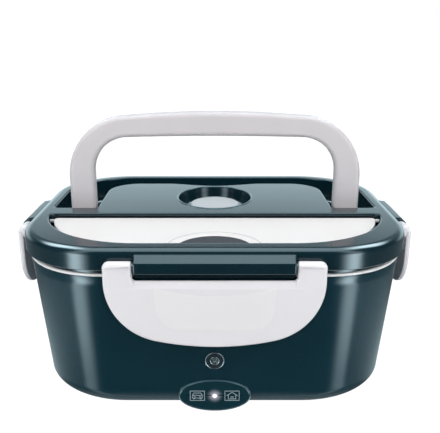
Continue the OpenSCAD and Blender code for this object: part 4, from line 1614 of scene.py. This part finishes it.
@dataclass
class Studio:
    """White floor, soft boxes and the camera."""

    sensor: float = 36.0
    frame_px: float = 440.0  # width of the rendered frame
    focal_px: float = 617.0
    shift_px: float = 5.3
    eye: tuple[float, float, float] = (0.0, -0.3956, 0.2223)
    pitch: float = 16.96  # degrees below level
    fill: float = 0.2
    backdrop: float = 1.5
    ceiling: float = 0.27
    panel: float = 4.1
    cool: tuple[float, float, float, float] = (0.72, 0.92, 1.0, 1)  # tint of what is reflected
    floor_z: float = -0.02  # mm, just clear of the feet
    floor_white: float = 1.19
    floor_shade: float = 0.16  # share of the floor that takes the object's shadow
    low_aim: tuple[float, float, float] = (0, 0, 0.08)

    def camera(self) -> None:
        """Places the camera in front of the box, looking a little down."""
        data = bpy.data.cameras.new("camera")
        data.lens = self.focal_px * self.sensor / self.frame_px
        data.sensor_width, data.shift_x = self.sensor, self.shift_px / self.frame_px
        data.clip_start, data.clip_end = 0.01, 20.0
        cam = bpy.data.objects.new("camera", data)
        cam.location = self.eye
        cam.rotation_euler = (math.radians(90 - self.pitch), 0, 0)
        bpy.context.scene.collection.objects.link(cam)
        bpy.context.scene.camera = cam

    def softbox(self, name: str, at: Sequence[float], to: Sequence[float], size: Point,
                power: float) -> None:
        """Adds one rectangular soft light that no surface mirrors.

        Args:
            name: the lamp's name.
            at: where it stands, m.
            to: the point it is aimed at, m.
            size: its width and height, m.
            power: in watts.
        """
        data = bpy.data.lights.new(name, "AREA")
        data.shape, data.size, data.size_y, data.energy = "RECTANGLE", size[0], size[1], power
        lamp = bpy.data.objects.new(name, data)
        lamp.location = at
        lamp.visible_glossy = False
        lamp.rotation_euler = (Vector(to) - Vector(at)).to_track_quat("-Z", "Y").to_euler()
        bpy.context.scene.collection.objects.link(lamp)

    def floor(self) -> None:
        """Pale floor that stays white to the camera and lets reflections pass."""
        shell = Shell()
        shell.fill(shell.ring(rounded_rect(8000, 8000, 800, 30), self.floor_z))
        obj = bpy.data.objects.new("floor", shell.mesh("floor"))
        bpy.context.scene.collection.objects.link(obj)
        mat = bpy.data.materials.new("studio_floor_white")
        t = empty_tree(mat)
        path = add(t, "ShaderNodeLightPath")
        white = add(t, "ShaderNodeEmission", in_Color=(1, 1, 1, 1), in_Strength=self.floor_white)
        matte = add(t, "ShaderNodeBsdfDiffuse", in_Color=(0.8, 0.8, 0.8, 1))
        clear = add(t, "ShaderNodeBsdfTransparent")
        seen = add(t, "ShaderNodeMixShader", {1: white.outputs[0], 2: matte.outputs[0]},
                   in_0=self.floor_shade)
        lit = add(t, "ShaderNodeMixShader", {0: path.outputs["Is Glossy Ray"], 1: matte.outputs[0],
                                             2: clear.outputs[0]})
        mix = add(t, "ShaderNodeMixShader", {0: path.outputs["Is Camera Ray"], 1: lit.outputs[0],
                                             2: seen.outputs[0]})
        add(t, "ShaderNodeOutputMaterial", {"Surface": mix.outputs[0]})
        obj.data.materials.append(mat)

    def world(self) -> None:
        """White to the camera, a soft dome as light, and a studio's forms in reflections."""
        world = bpy.data.worlds.new("studio")
        t = empty_tree(world)
        sky = Sky(t)
        path = add(t, "ShaderNodeLightPath")
        forms = sky.combine("MAXIMUM", sky.overhead(),
                            sky.combine("MAXIMUM", sky.backdrop(self.backdrop, self.ceiling),
                                        sky.side_panels(self.panel)))
        dome = add(t, "ShaderNodeMix", {"Factor": path.outputs["Is Glossy Ray"], "B": forms},
                   in_A=self.fill)
        seen = add(t, "ShaderNodeMix",
                   {"Factor": path.outputs["Is Camera Ray"], "A": dome.outputs[0]}, in_B=1.0)
        tint = add(t, "ShaderNodeMix", {"Factor": path.outputs["Is Glossy Ray"]}, data_type="RGBA",
                   in_6=(1, 1, 1, 1), in_7=self.cool)
        light = add(t, "ShaderNodeBackground",
                    {"Color": tint.outputs[2], "Strength": seen.outputs[0]})
        add(t, "ShaderNodeOutputWorld", {"Surface": light.outputs[0]})
        bpy.context.scene.world = world

    def build(self) -> None:
        """Sets up camera, light and floor."""
        bpy.context.scene.view_settings.view_transform = "Standard"
        self.camera()
        self.world()
        self.floor()
        self.softbox("top_soft", (0, -0.28, 1.15), (0, 0, 0.1), (1.2, 0.8), 5.7)
        for name, y, power in (("front_soft", -1.5, 3.9), ("rear_soft", 1.5, 2.6)):
            self.softbox(name, (0, y, 0.75), self.low_aim, (1.4, 0.6), power)
        for name, x in (("left_strip", -0.95), ("right_strip", 0.95)):
            self.softbox(name, (x, -0.55, 0.75), self.low_aim, (0.16, 0.7), 5.6)


# ---------------------------------------------------------------- assembly


class LunchBox:
    """The whole object, piece by piece."""

    def __init__(self, nodes: dict[str, bpy.types.Object]) -> None:
        """Draws the sub-assemblies' sizes.

        Args:
            nodes: the frame's nodes by name.
        """
        self.nodes = nodes
        self.plan = Plan()
        self.lid = Lid(self.plan)

    def clips(self) -> list[Clip]:
        """The wide front clip and the two end clips.

        Returns:
            The three clips.
        """
        front = Clip(self.plan, Body.FRONT_CLIP, "front_latch", Bar.on(Side.FRONT), belly_half=32.5,
                     belly_r=150, shoulder_r=35, low=54.2, face=5.0)
        ends = [Clip(self.plan, body, node, Bar.on(side), belly_half=14, belly_r=80, shoulder_r=22,
                     low=60.8, face=8.2)
                for body, node, side in ((Body.RIGHT_CLIP, "right_latch", Side.RIGHT),
                                         (Body.LEFT_CLIP, "left_latch", Side.LEFT))]
        return [front, *ends]

    def build(self) -> None:
        """Builds every sub-assembly, then dresses the nodes that keep their own shape."""
        for part in (Housing(self.plan), Liner(self.plan), self.lid, VentPlug(self.lid.vent_y),
                     CutleryCover(self.plan), Handle(), *self.clips(), Panel()):
            part.build()
        Carried().build(self.nodes)


def main() -> None:
    """Builds the studio and the object on the loaded frame."""
    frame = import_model()
    Studio().build()
    LunchBox(frame["nodes"]).build()


if __name__ == "__main__":
    main()
